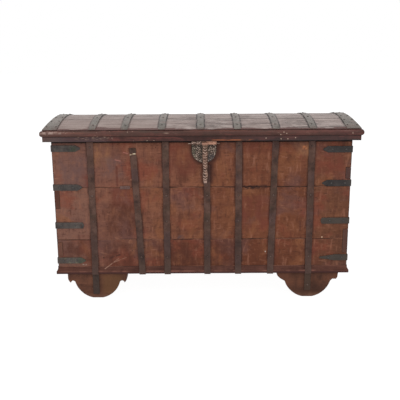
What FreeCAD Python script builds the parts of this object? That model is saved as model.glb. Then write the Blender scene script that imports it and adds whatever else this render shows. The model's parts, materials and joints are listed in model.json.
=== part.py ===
"""Iron-bound console chest: plank body on half-moon feet, low domed lid, strap hinges and a hasp.

Millimetres. +Z up, the front faces -Y, the floor is z = 0 and the origin is under the middle.
"""
import FreeCAD
import Part
import Sketcher
import math
import os

doc = FreeCAD.newDocument("console_chest")
sheet = doc.addObject("Spreadsheet::Sheet", "Sizes")
rows = []
nodes = []


class Size:
    """A number kept together with the sheet formula that gives it."""

    def __init__(self, text, value):
        self.text = text
        self.value = value

    def __add__(self, other):
        other = sized(other)
        return Size("(%s + %s)" % (self.text, other.text), self.value + other.value)

    __radd__ = __add__

    def __sub__(self, other):
        other = sized(other)
        return Size("(%s - %s)" % (self.text, other.text), self.value - other.value)

    def __rsub__(self, other):
        return sized(other) - self

    def __mul__(self, other):
        other = sized(other)
        return Size("(%s * %s)" % (self.text, other.text), self.value * other.value)

    __rmul__ = __mul__

    def __truediv__(self, other):
        other = sized(other)
        return Size("(%s / %s)" % (self.text, other.text), self.value / other.value)

    def __neg__(self):
        return Size("(0 - %s)" % self.text, -self.value)


def sized(item):
    if isinstance(item, Size):
        return item
    return Size("(%.4f)" % item, float(item))


def root(item):
    return Size("sqrt(%s)" % item.text, math.sqrt(item.value))


def sine(item):
    item = sized(item)
    return Size("sin(%s * 1 deg)" % item.text, math.sin(math.radians(item.value)))


def cosine(item):
    item = sized(item)
    return Size("cos(%s * 1 deg)" % item.text, math.cos(math.radians(item.value)))


def write_cell(alias, text):
    rows.append(alias)
    sheet.set("A%d" % len(rows), alias)
    sheet.set("B%d" % len(rows), text)
    sheet.setAlias("B%d" % len(rows), alias)


def size(alias, number):
    """A driving dimension: a plain number in the sheet."""
    write_cell(alias, str(number))
    return Size("Sizes." + alias, float(number))


def derived(alias, item):
    """A dimension that the sheet works out from the driving ones."""
    write_cell(alias, "=" + item.text.replace("Sizes.", ""))
    return Size("Sizes." + alias, item.value)


# Body of the chest.
body_width = size("body_width", 1400)
body_depth = size("body_depth", 500)
wall_thick = size("wall_thick", 25)
plank_ease = size("plank_ease", 1.6)
floor_thick = size("floor_thick", 22)
base_height = size("base_height", 126)
joint_height = size("joint_height", 773)
seam_low = size("seam_low", 298)
seam_high = size("seam_high", 553)
left_seam = size("left_seam", 390)
right_seam = size("right_seam", 465)
finger_a_low = size("finger_a_low", 215)
finger_a_high = size("finger_a_high", 285)
finger_b_low = size("finger_b_low", 453)
finger_b_high = size("finger_b_high", 535)
finger_c_low = size("finger_c_low", 226)
finger_c_high = size("finger_c_high", 343)
finger_d_low = size("finger_d_low", 590)
finger_d_high = size("finger_d_high", 643)

# Base moulding and feet.
base_reach = size("base_reach", 9)
base_tall = size("base_tall", 38)
base_fillet = size("base_fillet", 15)
base_lip = size("base_lip", 2)
base_cove = size("base_cove", 26)
foot_inset = size("foot_inset", 187)
foot_half = size("foot_half", 150)
foot_thick = size("foot_thick", 50)
foot_flat = size("foot_flat", 24)
foot_round = size("foot_round", 115)
shoulder_half = size("shoulder_half", 145)
shoulder_height = size("shoulder_height", 104)
shoulder_round = size("shoulder_round", 33)
cusp_half = size("cusp_half", 131)
cusp_height = size("cusp_height", 77)
lobe_half = size("lobe_half", 109)
lobe_height = size("lobe_height", 79)
notch_share = size("notch_share", 0.503)
worn_round = size("worn_round", 118)
worn_half = size("worn_half", 112)
worn_height = size("worn_height", 80)
runner_width = size("runner_width", 60)
runner_height = size("runner_height", 58)

# Iron straps and nails.
strap_width = size("strap_width", 31)
strap_thick = size("strap_thick", 3)
strap_turn = size("strap_turn", 16)
strap_top_gap = size("strap_top_gap", 3)
foot_strap_end = size("foot_strap_end", 20)
worn_strap_end = size("worn_strap_end", 35)
corner_reach = size("corner_reach", 135)
corner_point = size("corner_point", 22)
corner_long_point = size("corner_long_point", 72)
corner_blunt = size("corner_blunt", 5.5)
nail_width = size("nail_width", 9)
nail_crown = size("nail_crown", 4)
nail_height = size("nail_height", 2.4)

# Lid rim, dome and its straps.
rim_reach = size("rim_reach", 41.5)
tier_reach = size("tier_reach", 31)
tier_tall = size("tier_tall", 24)
rim_tall = size("rim_tall", 53)
rim_round = size("rim_round", 16)
dome_set = size("dome_set", 30)
dome_lip = size("dome_lip", 3)
dome_rise = size("dome_rise", 43)
stave_thick = size("stave_thick", 18)
stave_first = size("stave_first_share", 0.264)
stave_second = size("stave_second_share", 0.509)
stave_third = size("stave_third_share", 0.755)
lid_end_reach = size("lid_end_reach", 33)
lid_rake = size("lid_rake", 0.45)
band_width = size("band_width", 70)
strap_drop = size("strap_drop", 12)

# Strap hinges at the back.
knuckle_radius = size("knuckle_radius", 8)
knuckle_gap = size("knuckle_gap", 0.4)
hinge_pin_radius = size("hinge_pin_radius", 4)
running_gap = size("running_gap", 0.06)
knuckle_width = size("knuckle_width", 10)
leaf_length = size("leaf_length", 420)
pin_head_radius = size("pin_head_radius", 6)
pin_head_tall = size("pin_head_tall", 2.5)

# Lock plate and hasp.
lock_place = size("lock_place", 10.5)
lock_half = size("lock_half", 57.5)
lock_tall = size("lock_tall", 100)
hasp_place = size("hasp_place", 15.5)
hasp_half = size("hasp_half", 12.5)
hasp_thick = size("hasp_thick", 5)
hasp_reach = size("hasp_reach", 22)
hasp_straight = size("hasp_straight", 75)
hasp_bend = size("hasp_bend", 376)
hasp_bend_angle = size("hasp_bend_angle", 16.7)
barrel_radius = size("barrel_radius", 6.5)
barrel_half = size("barrel_half", 14)
barrel_gap = size("barrel_gap", 0.4)
hasp_pin_radius = size("hasp_pin_radius", 3)
hasp_pin_stick = size("hasp_pin_stick", 15)
eye_reach = size("eye_reach", 10)
eye_radius = size("eye_radius", 5)
eye_bore = size("eye_bore", 2.75)
eye_half = size("eye_half", 2.5)

# Places that the pieces share.
half_width = derived("half_width", body_width / 2)
foot_place = derived("foot_place", half_width - foot_inset)
notch_width = derived("notch_width", root(
    (cusp_half - lobe_half) * (cusp_half - lobe_half) + (lobe_height - cusp_height) * (lobe_height - cusp_height)))
notch_round = derived("notch_round", notch_width * notch_share)
inner_half = derived("inner_half", half_width - wall_thick)
hinge_offset = derived("hinge_offset", knuckle_radius + knuckle_gap)
front = derived("front_face", (rim_reach - body_depth - hinge_offset - knuckle_radius) / 2)
back = derived("back_face", front + body_depth)
wall_bottom = derived("wall_bottom", base_height + floor_thick)
rim_top = derived("rim_top", joint_height + rim_tall)
dome_front = derived("dome_front", front - dome_set)
dome_middle = derived("dome_middle", (dome_front + back) / 2)
dome_chord = derived("dome_chord", back - dome_front)
dome_radius = derived("dome_radius", (dome_chord * dome_chord / 4 + dome_rise * dome_rise) / (2 * dome_rise))
dome_centre = derived("dome_centre", rim_top + dome_lip + dome_rise - dome_radius)
dome_inside = derived("dome_inside", dome_radius - stave_thick)
dome_outside = derived("dome_outside", dome_radius + strap_thick)
hinge_line = derived("hinge_line", back + hinge_offset)
hasp_line = derived("hasp_line", front - hasp_reach)
hasp_height = derived("hasp_height", joint_height - strap_thick - barrel_radius - barrel_gap)
doc.recompute()

ROLES = {"front": "XZ_Plane", "side": "YZ_Plane", "top": "XY_Plane"}


def arc_between(start, end, radius):
    """Arc from start to end; a positive radius turns anticlockwise, a negative one clockwise."""
    if radius < 0:
        start, end = end, start
    middle = (start + end) / 2
    run = end - start
    reach = abs(radius)
    rise = math.sqrt(max(reach * reach - run.Length * run.Length / 4, 0))
    centre = middle + FreeCAD.Vector(-run.y, run.x, 0).normalize() * rise
    first = math.atan2(start.y - centre.y, start.x - centre.x)
    last = math.atan2(end.y - centre.y, end.x - centre.x)
    circle = Part.Circle(centre, FreeCAD.Vector(0, 0, 1), reach)
    return Part.ArcOfCircle(circle, first, last)


def draw_circle(sketch, across, up, radius):
    across, up, radius = sized(across), sized(up), sized(radius)
    centre = FreeCAD.Vector(across.value, up.value, 0)
    geo = sketch.addGeometry(Part.Circle(centre, FreeCAD.Vector(0, 0, 1), radius.value))
    fixed = (("DistanceX", across), ("DistanceY", up))
    for kind, item in fixed:
        place = sketch.addConstraint(Sketcher.Constraint(kind, -1, 1, geo, 3, item.value))
        sketch.setExpression("Constraints[%d]" % place, item.text)
    place = sketch.addConstraint(Sketcher.Constraint("Radius", geo, radius.value))
    sketch.setExpression("Constraints[%d]" % place, radius.text)


def draw_outline(sketch, corners):
    """Closed outline; a corner with a third value starts an arc of that radius."""
    corners = [[sized(item) for item in corner] for corner in corners]
    points = [FreeCAD.Vector(corner[0].value, corner[1].value, 0) for corner in corners]
    starts, ends, geos = [], [], []
    for i, corner in enumerate(corners):
        here, there = points[i], points[(i + 1) % len(points)]
        if len(corner) == 3:
            geos.append(sketch.addGeometry(arc_between(here, there, corner[2].value)))
            turn = corner[2].value > 0
            starts.append(1 if turn else 2)
            ends.append(2 if turn else 1)
        else:
            geos.append(sketch.addGeometry(Part.LineSegment(here, there)))
            starts.append(1)
            ends.append(2)
    for i, corner in enumerate(corners):
        j = i - 1
        sketch.addConstraint(Sketcher.Constraint("Coincident", geos[j], ends[j], geos[i], starts[i]))
        for kind, item in (("DistanceX", corner[0]), ("DistanceY", corner[1])):
            place = sketch.addConstraint(Sketcher.Constraint(kind, -1, 1, geos[i], starts[i], item.value))
            sketch.setExpression("Constraints[%d]" % place, item.text)
        if len(corner) == 3:
            reach = corner[2] if corner[2].value > 0 else -corner[2]
            place = sketch.addConstraint(Sketcher.Constraint("Radius", geos[i], reach.value))
            sketch.setExpression("Constraints[%d]" % place, reach.text)


def new_body(label):
    body = doc.addObject("PartDesign::Body", label)
    body.Label = label
    return body


def new_sketch(body, view, level):
    """Sketch on one of the body's own planes, moved along its normal to the level."""
    sketch = body.newObject("Sketcher::SketchObject", body.Name + "_sketch")
    plane = [item for item in body.Origin.OriginFeatures if item.Role == ROLES[view]][0]
    sketch.AttachmentSupport = (plane, [""])
    sketch.MapMode = "FlatFace"
    sketch.AttachmentOffset = FreeCAD.Placement(FreeCAD.Vector(0, 0, level.value), FreeCAD.Rotation())
    sketch.setExpression("AttachmentOffset.Base.z", level.text)
    return sketch


def pad(body, view, low, high, *outlines):
    """Adds the outlines between two levels across the view."""
    low, high = sized(low), sized(high)
    sketch = new_sketch(body, view, -high if view == "front" else low)
    for outline in outlines:
        if outline[0] == "circle":
            draw_circle(sketch, *outline[1:])
        else:
            draw_outline(sketch, outline)
    feature = body.newObject("PartDesign::Pad", body.Name + "_pad")
    feature.Profile = sketch
    length = high - low
    feature.Length = length.value
    feature.setExpression("Length", length.text)
    body.Tip = feature


def pocket(body, view, low, high, *outlines):
    """Cuts the outlines away between two levels across the view."""
    low, high = sized(low), sized(high)
    sketch = new_sketch(body, view, -low if view == "front" else high)
    for outline in outlines:
        if outline[0] == "circle":
            draw_circle(sketch, *outline[1:])
        else:
            draw_outline(sketch, outline)
    feature = body.newObject("PartDesign::Pocket", body.Name + "_pocket")
    feature.Profile = sketch
    length = high - low
    feature.Length = length.value
    feature.setExpression("Length", length.text)
    body.Tip = feature


def ease(body, axis, level, reach):
    """Takes the sharp edge off all round the face that stands at this level along the axis."""
    doc.recompute()
    solid = body.Tip
    for i, face in enumerate(solid.Shape.Faces):
        box = face.BoundBox
        low, high = getattr(box, axis + "Min"), getattr(box, axis + "Max")
        if abs(low - level.value) < 0.01 and abs(high - level.value) < 0.01:
            feature = body.newObject("PartDesign::Chamfer", body.Name + "_ease")
            feature.Base = (solid, ["Face%d" % (i + 1)])
            feature.Size = reach.value
            feature.setExpression("Size", reach.text)
            body.Tip = feature
            return


def keep(item, label):
    item.Label = label
    nodes.append(item)
    return item


def rectangle(left, low, right, high):
    return [(left, low), (right, low), (right, high), (left, high)]


def stepped(low, high, spans, inside, outside):
    """Edge going up from low to high that stands at inside over the spans and at outside elsewhere."""
    edge = []
    level = low
    for first, last in spans:
        if last.value <= low.value or first.value >= high.value:
            continue
        if first.value > low.value:
            edge += [(outside, level), (outside, first)]
        top = last if last.value < high.value else high
        bottom = first if first.value > low.value else low
        edge += [(inside, bottom), (inside, top)]
        level = top
    if level.value < high.value:
        edge += [(outside, level), (outside, high)]
    return edge


# Walls: three planks front and back, two at each end, keyed together with broad fingers.
left_fingers = [(finger_a_low, finger_a_high), (finger_b_low, finger_b_high)]
right_fingers = [(finger_c_low, finger_c_high), (finger_d_low, finger_d_high)]
long_planks = (("lower", wall_bottom, seam_low), ("middle", seam_low, seam_high), ("upper", seam_high, joint_height))
eye_height = derived("eye_height", hasp_height - hasp_straight)
doc.recompute()
for name, low, high in long_planks:
    right_edge = stepped(low, high, right_fingers, inner_half, half_width)
    left_edge = stepped(low, high, left_fingers, -inner_half, -half_width)
    outline = right_edge + left_edge[::-1]
    plank = new_body("front_plank_" + name)
    pad(plank, "front", front, front + wall_thick, outline)
    if name == "upper":
        mortise = rectangle(hasp_place - 6, eye_height - 13, hasp_place + 6, eye_height + 15)
        pocket(plank, "front", front, front + 16, mortise)
    ease(plank, "Y", front, plank_ease)
    keep(plank, "front_plank_" + name)
    plank = new_body("back_plank_" + name)
    pad(plank, "front", back - wall_thick, back, outline)
    ease(plank, "Y", back, plank_ease)
    keep(plank, "back_plank_" + name)

end_walls = (
    ("left", -half_width, -inner_half, left_seam, left_fingers),
    ("right", inner_half, half_width, right_seam, right_fingers),
)
for side, near, far, seam, fingers in end_walls:
    for name, low, high in (("lower", wall_bottom, seam), ("upper", seam, joint_height)):
        back_edge = stepped(low, high, fingers, back, back - wall_thick)
        front_edge = stepped(low, high, fingers, front, front + wall_thick)
        plank = new_body(side + "_end_plank_" + name)
        pad(plank, "side", near, far, back_edge + front_edge[::-1])
        ease(plank, "X", near if side == "left" else far, plank_ease)
        keep(plank, side + "_end_plank_" + name)

# Floor: two boards under the walls.
floor_split = derived("floor_split", (front + back) / 2)
doc.recompute()
for name, near, far in (("front", front, floor_split), ("back", floor_split, back)):
    board = new_body("floor_board_" + name)
    pad(board, "top", base_height, wall_bottom, rectangle(-half_width, near, half_width, far))
    keep(board, "floor_board_" + name)

# Base moulding on the front and both ends, mitred at the front corners.
over = base_reach + 5
base_top = base_height + base_tall
fillet_top = base_height + base_fillet
moulding = new_body("base_moulding_front")
pad(moulding, "side", -half_width - base_reach, half_width + base_reach, [
    (front, base_height),
    (front, base_top),
    (front - base_lip, base_top, -base_cove),
    (front - base_reach, fillet_top),
    (front - base_reach, base_height),
])
pocket(moulding, "top", base_height - 5, base_top + 5,
       [(-half_width - over, front - over), (-half_width, front), (-half_width - over, front)],
       [(half_width + over, front - over), (half_width + over, front), (half_width, front)])
keep(moulding, "base_moulding_front")
for side, sign in (("left", -1), ("right", 1)):
    face = sign * half_width
    moulding = new_body("base_moulding_" + side)
    pad(moulding, "front", front - base_reach, back, [
        (face, base_height),
        (face, base_top),
        (face + sign * base_lip, base_top, -sign * -base_cove),
        (face + sign * base_reach, fillet_top),
        (face + sign * base_reach, base_height),
    ])
    pocket(moulding, "top", base_height - 5, base_top + 5,
           [(face + sign * over, front - over), (face, front - over), (face, front)])
    keep(moulding, "base_moulding_" + side)

# Feet: half-moon boards at front and back, the right-hand ones worn, tied by a runner underneath.
for side, sign in (("left", -1), ("right", 1)):
    middle = sign * foot_place
    if side == "left":
        outline = [
            (middle + shoulder_half, base_height),
            (middle - shoulder_half, base_height),
            (middle - shoulder_half, shoulder_height, shoulder_round),
            (middle - cusp_half, cusp_height, -notch_round),
            (middle - lobe_half, lobe_height, foot_round),
            (middle - foot_flat, 0),
            (middle + foot_flat, 0, foot_round),
            (middle + lobe_half, lobe_height, -notch_round),
            (middle + cusp_half, cusp_height, shoulder_round),
            (middle + shoulder_half, shoulder_height),
        ]
    else:
        outline = [
            (middle + foot_half, base_height),
            (middle - foot_half, base_height),
            (middle - foot_half, base_height - 17),
            (middle - foot_half + 13, base_height - 31),
            (middle - worn_half, worn_height, worn_round),
            (middle - foot_flat, 0),
            (middle + foot_flat, 0, worn_round),
            (middle + worn_half, worn_height),
            (middle + worn_half + 9, worn_height + 10),
            (middle + foot_half - 10, base_height - 37),
            (middle + foot_half - 3, base_height - 26),
        ]
    for name, near, far in (("front", front, front + foot_thick), ("back", back - foot_thick, back)):
        foot = new_body("foot_%s_%s" % (name, side))
        pad(foot, "front", near, far, outline)
        keep(foot, "foot_%s_%s" % (name, side))
    runner = new_body("runner_" + side)
    pad(runner, "top", base_height - runner_height, base_height,
        rectangle(middle - runner_width / 2, front + foot_thick, middle + runner_width / 2, back - foot_thick))
    keep(runner, "runner_" + side)

# Front straps: nailed down the planks, bent over the base moulding and turned under it.
strap_top = joint_height - strap_top_gap
strap_face = front - strap_thick
bend_top = base_top + 6
inside_path = [
    (front, bend_top),
    (front - base_lip, base_top),
    (front - base_reach, fillet_top),
    (front - base_reach, base_height),
]
outside_path = [
    (strap_face - base_reach, base_height - strap_thick),
    (strap_face - base_reach, fillet_top + 0.5),
    (strap_face - base_lip, base_top + 0.5),
    (strap_face, bend_top + 0.5),
]
turned_under = [(front + strap_turn, base_height), (front + strap_turn, base_height - strap_thick)]


def down_the_foot(end):
    """The run of a strap that goes on from the base moulding down the face of a foot."""
    return [(front, base_height), (front, end), (strap_face, end), (strap_face, base_height - strap_thick)]


def strap_profile(top, ending):
    return [(strap_face, top), (front, top)] + inside_path + ending + outside_path


upright_straps = (
    (1, size("strap_1_inset", 180) - half_width, strap_top, down_the_foot(foot_strap_end)),
    (3, half_width * size("strap_3_share", -0.2414), strap_top, turned_under),
    (4, half_width * size("strap_4_share", 0.0343), hasp_height - lock_tall - 4, turned_under),
    (5, half_width * size("strap_5_share", 0.2471), strap_top, turned_under),
    (7, half_width - size("strap_7_inset", 187.5), strap_top, down_the_foot(worn_strap_end)),
)
leaning_straps = (
    (2, half_width * size("strap_2_top_share", -0.4614),
     foot_half + strap_width / 2 + size("strap_2_foot_gap", 57.5) - foot_place,
     joint_height - size("strap_2_short", 32)),
    (6, half_width * size("strap_6_top_share", 0.4907),
     foot_place - foot_half - strap_width / 2 - size("strap_6_foot_gap", 19.5), strap_top),
)
doc.recompute()
for number, place, top, ending in upright_straps:
    strap = new_body("front_strap_%d" % number)
    pad(strap, "side", place - strap_width / 2, place + strap_width / 2, strap_profile(top, ending))
    keep(strap, "front_strap_%d" % number)
for number, place_top, place_foot, top in leaning_straps:
    wide = new_body("strap_%d_band" % number)
    low_side = place_top if place_top.value < place_foot.value else place_foot
    high_side = place_foot if place_top.value < place_foot.value else place_top
    pad(wide, "side", low_side - strap_width, high_side + strap_width, strap_profile(top, turned_under))
    slant = new_body("strap_%d_slant" % number)
    reach = strap_width / 2
    pad(slant, "front", front - base_reach - 20, front + strap_turn + 20, [
        (place_foot - reach, base_height - 10),
        (place_foot + reach, base_height - 10),
        (place_top + reach, joint_height),
        (place_top - reach, joint_height),
    ])
    strap = doc.addObject("Part::Common", "strap_%d_whole" % number)
    strap.Base = wide
    strap.Tool = slant
    if number == 2:
        crack = new_body("strap_2_crack")
        pad(crack, "front", front - 20, front + 5, [
            (place_top - 30, top - 31), (place_top - 8, top - 35), (place_top + 6, top - 30), (place_top + 30, top - 34),
            (place_top + 30, top - 27), (place_top + 8, top - 24), (place_top - 7, top - 28), (place_top - 30, top - 25),
        ])
        whole = strap
        strap = doc.addObject("Part::Cut", "front_strap_2")
        strap.Base = whole
        strap.Tool = crack
    keep(strap, "front_strap_%d" % number)

cleat_place = half_width * size("cleat_share", -0.5186)
cleat_half = size("cleat_half", 24)
doc.recompute()
cleat = new_body("seam_cleat")
pad(cleat, "front", strap_face, front,
    rectangle(cleat_place - cleat_half, seam_high - 8, cleat_place + cleat_half, seam_high + 8))
keep(cleat, "seam_cleat")

# Corner straps: four at each corner, bent round the corner, with pointed or blunt ends.
corner_heights = {
    "left": [base_top + (joint_height - base_top) * size("corner_left_%s_share" % word, number) for word, number in
             (("one", 0.9455), ("two", 0.6415), ("three", 0.3375), ("four", 0.0487))],
    "right": [base_top + (joint_height - base_top) * size("corner_right_%s_share" % word, number) for word, number in
              (("one", 0.9282), ("two", 0.665), ("three", 0.3647), ("four", 0.0627))],
}
corner_points = {
    "left": (corner_point, corner_point, corner_blunt, corner_point),
    "right": (corner_point, corner_point, corner_blunt, corner_long_point),
}
doc.recompute()


def strap_end(root_place, tip_place, point, height):
    """Outline of one flat strap leg that ends in a point, or in a blunt end when point is zero."""
    reach = strap_width / 2
    shoulder = tip_place - point
    return [
        (root_place, height - reach),
        (shoulder, height - reach),
        (tip_place, height - reach / 4),
        (tip_place, height + reach / 4),
        (shoulder, height + reach),
        (root_place, height + reach),
    ]


for side, sign in (("left", -1), ("right", 1)):
    outer = sign * (half_width + strap_thick)
    for name, near, far, way in (("front", strap_face, front, 1), ("back", back, back + strap_thick, -1)):
        legs = []
        for i, (height, point) in enumerate(zip(corner_heights[side], corner_points[side])):
            leg = new_body("corner_%s_%s_%d" % (name, side, i + 1))
            pad(leg, "front", near, far,
                strap_end(outer, sign * (half_width - corner_reach), -sign * point, height))
            edge = strap_face if way == 1 else back + strap_thick
            tip = front + corner_reach if way == 1 else back - corner_reach
            faces = (-half_width - strap_thick, -half_width) if sign == -1 else (half_width, half_width + strap_thick)
            pad(leg, "side", faces[0], faces[1], strap_end(edge, tip, way * point, height))
            legs.append(leg)
        group = doc.addObject("Part::Compound", "corner_straps_%s_%s" % (name, side))
        group.Links = legs
        keep(group, "corner_straps_%s_%s" % (name, side))

# Lid rim: front and end rails with a rounded nosing over a lower tier, mitred in front; plain back rail.
tier_top = joint_height + tier_tall
nose_depth = derived("nose_depth", rim_round - root(
    rim_round * rim_round - (rim_tall - tier_tall) * (rim_tall - tier_tall) / 4))
doc.recompute()
nose_start = rim_reach - nose_depth
spare = rim_reach + 10
rail = new_body("lid_rail_front")
pad(rail, "side", -half_width - rim_reach, half_width + rim_reach, [
    (front + wall_thick, joint_height),
    (front - tier_reach, joint_height),
    (front - tier_reach, tier_top),
    (front - nose_start, tier_top, -rim_round),
    (front - nose_start, rim_top),
    (front + wall_thick, rim_top),
])
pocket(rail, "top", joint_height - 5, rim_top + 5,
       [(-half_width - spare, front - spare), (-inner_half, front + wall_thick),
        (-half_width - spare, front + wall_thick)],
       [(half_width + spare, front - spare), (half_width + spare, front + wall_thick),
        (inner_half, front + wall_thick)])
keep(rail, "lid_rail_front")
for side, sign in (("left", -1), ("right", 1)):
    face = sign * half_width
    rail = new_body("lid_rail_" + side)
    pad(rail, "front", front - rim_reach, back, [
        (sign * inner_half, joint_height),
        (face + sign * tier_reach, joint_height),
        (face + sign * tier_reach, tier_top),
        (face + sign * nose_start, tier_top, sign * rim_round),
        (face + sign * nose_start, rim_top),
        (sign * inner_half, rim_top),
    ])
    pocket(rail, "top", joint_height - 5, rim_top + 5,
           [(face + sign * spare, front - spare), (sign * inner_half, front - spare),
            (sign * inner_half, front + wall_thick)])
    keep(rail, "lid_rail_" + side)
rail = new_body("lid_rail_back")
pad(rail, "top", joint_height, rim_top, rectangle(-inner_half, back - wall_thick, inner_half, back))
keep(rail, "lid_rail_back")


def dome_at(place, radius):
    """Height of a dome surface of this radius over a place front to back."""
    run = place - dome_middle
    return dome_centre + root(radius * radius - run * run)


# Dome: four staves along the lid on curved end boards.
seat_run = root(dome_inside * dome_inside - (rim_top - dome_centre) * (rim_top - dome_centre))
seat_front = derived("seat_front", dome_middle - seat_run)
seat_back = derived("seat_back", dome_middle + seat_run)
stave_lines = [dome_front + dome_chord * share for share in (stave_first, stave_second, stave_third)]
doc.recompute()
lid_half = half_width + lid_end_reach
first, second, third = stave_lines


def rake_ends(board):
    """Cuts the ends of a board or band so that they lean in above the rim."""
    above = rim_top + dome_lip + dome_rise + strap_thick + 10
    cuts = []
    for sign in (-1, 1):
        cuts.append([
            (sign * lid_half, rim_top),
            (sign * (lid_half + 10), rim_top),
            (sign * (lid_half + 10), above),
            (sign * (lid_half - lid_rake * (above - rim_top)), above),
        ])
    pocket(board, "front", dome_front - 10, back + 20, *cuts)


stave_outlines = [
    [(dome_front, rim_top), (seat_front, rim_top, -dome_inside), (first, dome_at(first, dome_inside)),
     (first, dome_at(first, dome_radius), dome_radius), (dome_front, dome_at(dome_front, dome_radius))],
    [(first, dome_at(first, dome_inside), -dome_inside), (second, dome_at(second, dome_inside)),
     (second, dome_at(second, dome_radius), dome_radius), (first, dome_at(first, dome_radius))],
    [(second, dome_at(second, dome_inside), -dome_inside), (third, dome_at(third, dome_inside)),
     (third, dome_at(third, dome_radius), dome_radius), (second, dome_at(second, dome_radius))],
    [(third, dome_at(third, dome_inside), -dome_inside), (seat_back, rim_top), (back, rim_top),
     (back, dome_at(back, dome_radius), dome_radius), (third, dome_at(third, dome_radius))],
]
for i, outline in enumerate(stave_outlines):
    stave = new_body("lid_stave_%d" % (i + 1))
    pad(stave, "side", -lid_half, lid_half, outline)
    rake_ends(stave)
    keep(stave, "lid_stave_%d" % (i + 1))
for side, near, far in (("left", -lid_half, -half_width), ("right", half_width, lid_half)):
    board = new_body("lid_end_" + side)
    pad(board, "side", near, far, [(seat_front, rim_top), (seat_back, rim_top, dome_inside)])
    rake_ends(board)
    keep(board, "lid_end_" + side)


def lid_strap_outline(end_height):
    """Side view of a strap over the dome that turns down behind the lid."""
    outer_back = back + strap_thick
    return [
        (dome_front, dome_at(dome_front, dome_radius), -dome_radius),
        (back, dome_at(back, dome_radius)),
        (back, end_height),
        (outer_back, end_height),
        (outer_back, dome_at(outer_back, dome_outside), dome_outside),
        (dome_front, dome_at(dome_front, dome_outside)),
    ]


# Lid straps: wide bands at the ends, plain straps between, and three that carry the hinges.
for side, near, far in (("left", -lid_half, -lid_half + band_width), ("right", lid_half - band_width, lid_half)):
    band = new_body("lid_band_" + side)
    pad(band, "side", near, far, lid_strap_outline(rim_top - strap_drop))
    rake_ends(band)
    keep(band, "lid_band_" + side)
plain_places = [half_width * size("lid_strap_%s_share" % word, number) for word, number in
                (("one", -0.718), ("three", -0.2629), ("five", 0.2343), ("seven", 0.7286))]
hinge_places = [half_width * size("lid_strap_%s_share" % word, number) for word, number in
                (("two", -0.5057), ("four", -0.0071), ("six", 0.4871))]
doc.recompute()
plain_straps = []
for i, place in enumerate(plain_places):
    strap = new_body("lid_strap_plain_%d" % (i + 1))
    pad(strap, "side", place - strap_width / 2, place + strap_width / 2, lid_strap_outline(joint_height + strap_drop))
    plain_straps.append(strap)
group = doc.addObject("Part::Compound", "lid_straps")
group.Links = plain_straps
keep(group, "lid_straps")

# Hinges: the lid strap ends in one knuckle between the two of the leaf on the back wall.
clear = knuckle_radius + 1.5
pins = []
for i, place in enumerate(hinge_places):
    left, right = place - strap_width / 2, place + strap_width / 2
    tongue_left, tongue_right = place - knuckle_width / 2, place + knuckle_width / 2
    strap = new_body("lid_hinge_strap_%d" % (i + 1))
    pad(strap, "side", left, right, lid_strap_outline(joint_height + clear))
    pad(strap, "side", tongue_left, tongue_right,
        rectangle(back, joint_height + 0.5, back + strap_thick, joint_height + clear + 3))
    pad(strap, "side", tongue_left, tongue_right, ("circle", hinge_line, joint_height, knuckle_radius))
    pocket(strap, "side", left, right, ("circle", hinge_line, joint_height, hinge_pin_radius + running_gap))
    keep(strap, "lid_hinge_strap_%d" % (i + 1))

    leaf = new_body("hinge_leaf_%d" % (i + 1))
    pad(leaf, "side", left, right,
        rectangle(back, joint_height - leaf_length, back + strap_thick, joint_height - clear))
    for near, far in ((left, tongue_left - knuckle_gap), (tongue_right + knuckle_gap, right)):
        pad(leaf, "side", near, far,
            rectangle(back, joint_height - clear - 3, back + strap_thick, joint_height - 0.5))
        pad(leaf, "side", near, far, ("circle", hinge_line, joint_height, knuckle_radius))
    pocket(leaf, "side", left, right, ("circle", hinge_line, joint_height, hinge_pin_radius))
    keep(leaf, "hinge_leaf_%d" % (i + 1))

    pin = new_body("hinge_pin_%d" % (i + 1))
    pad(pin, "side", left, right, ("circle", hinge_line, joint_height, hinge_pin_radius))
    pad(pin, "side", left - pin_head_tall, left, ("circle", hinge_line, joint_height, pin_head_radius))
    pad(pin, "side", right, right + pin_head_tall, ("circle", hinge_line, joint_height, pin_head_radius))
    pins.append(pin)
group = doc.addObject("Part::Compound", "hinge_pins")
group.Links = pins
keep(group, "hinge_pins")

# Lock plate: an iron shield on the front with a slot for the eye of the hasp.
lock_top = joint_height - 4
lock_left, lock_right = lock_place - lock_half, lock_place + lock_half
lock_spring = lock_top - lock_tall + lock_half
plate = new_body("lock_plate")
pad(plate, "front", strap_face, front, [
    (lock_left, lock_top),
    (lock_left, lock_spring, lock_half),
    (lock_place, lock_top - lock_tall, lock_half),
    (lock_right, lock_spring),
    (lock_right, lock_top),
])
slot = rectangle(hasp_place - eye_half - 1, eye_height - 9, hasp_place + eye_half + 1, eye_height + 11)
pocket(plate, "front", strap_face - 1, front + 1, slot)
keep(plate, "lock_plate")

# Hasp hinge: a brass plate under the lid rim with two barrels, and the long pin through them.
barrel_spans = (
    (lock_left, hasp_place - barrel_half - barrel_gap),
    (hasp_place + barrel_half + barrel_gap, lock_right),
)
hinge = new_body("hasp_hinge")
pad(hinge, "top", joint_height - strap_thick, joint_height,
    rectangle(lock_left, front - tier_reach, lock_right, front - 4))
for near, far in barrel_spans:
    pad(hinge, "side", near, far,
        rectangle(hasp_line - barrel_radius + 1.5, hasp_height, hasp_line + barrel_radius, joint_height - strap_thick))
    pad(hinge, "side", near, far, ("circle", hasp_line, hasp_height, barrel_radius))
pocket(hinge, "side", lock_left, lock_right, ("circle", hasp_line, hasp_height, hasp_pin_radius))
keep(hinge, "hasp_hinge")
pin = new_body("hasp_pin")
pad(pin, "side", lock_left - hasp_pin_stick, lock_right + hasp_pin_stick,
    ("circle", hasp_line, hasp_height, hasp_pin_radius))
keep(pin, "hasp_pin")

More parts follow.
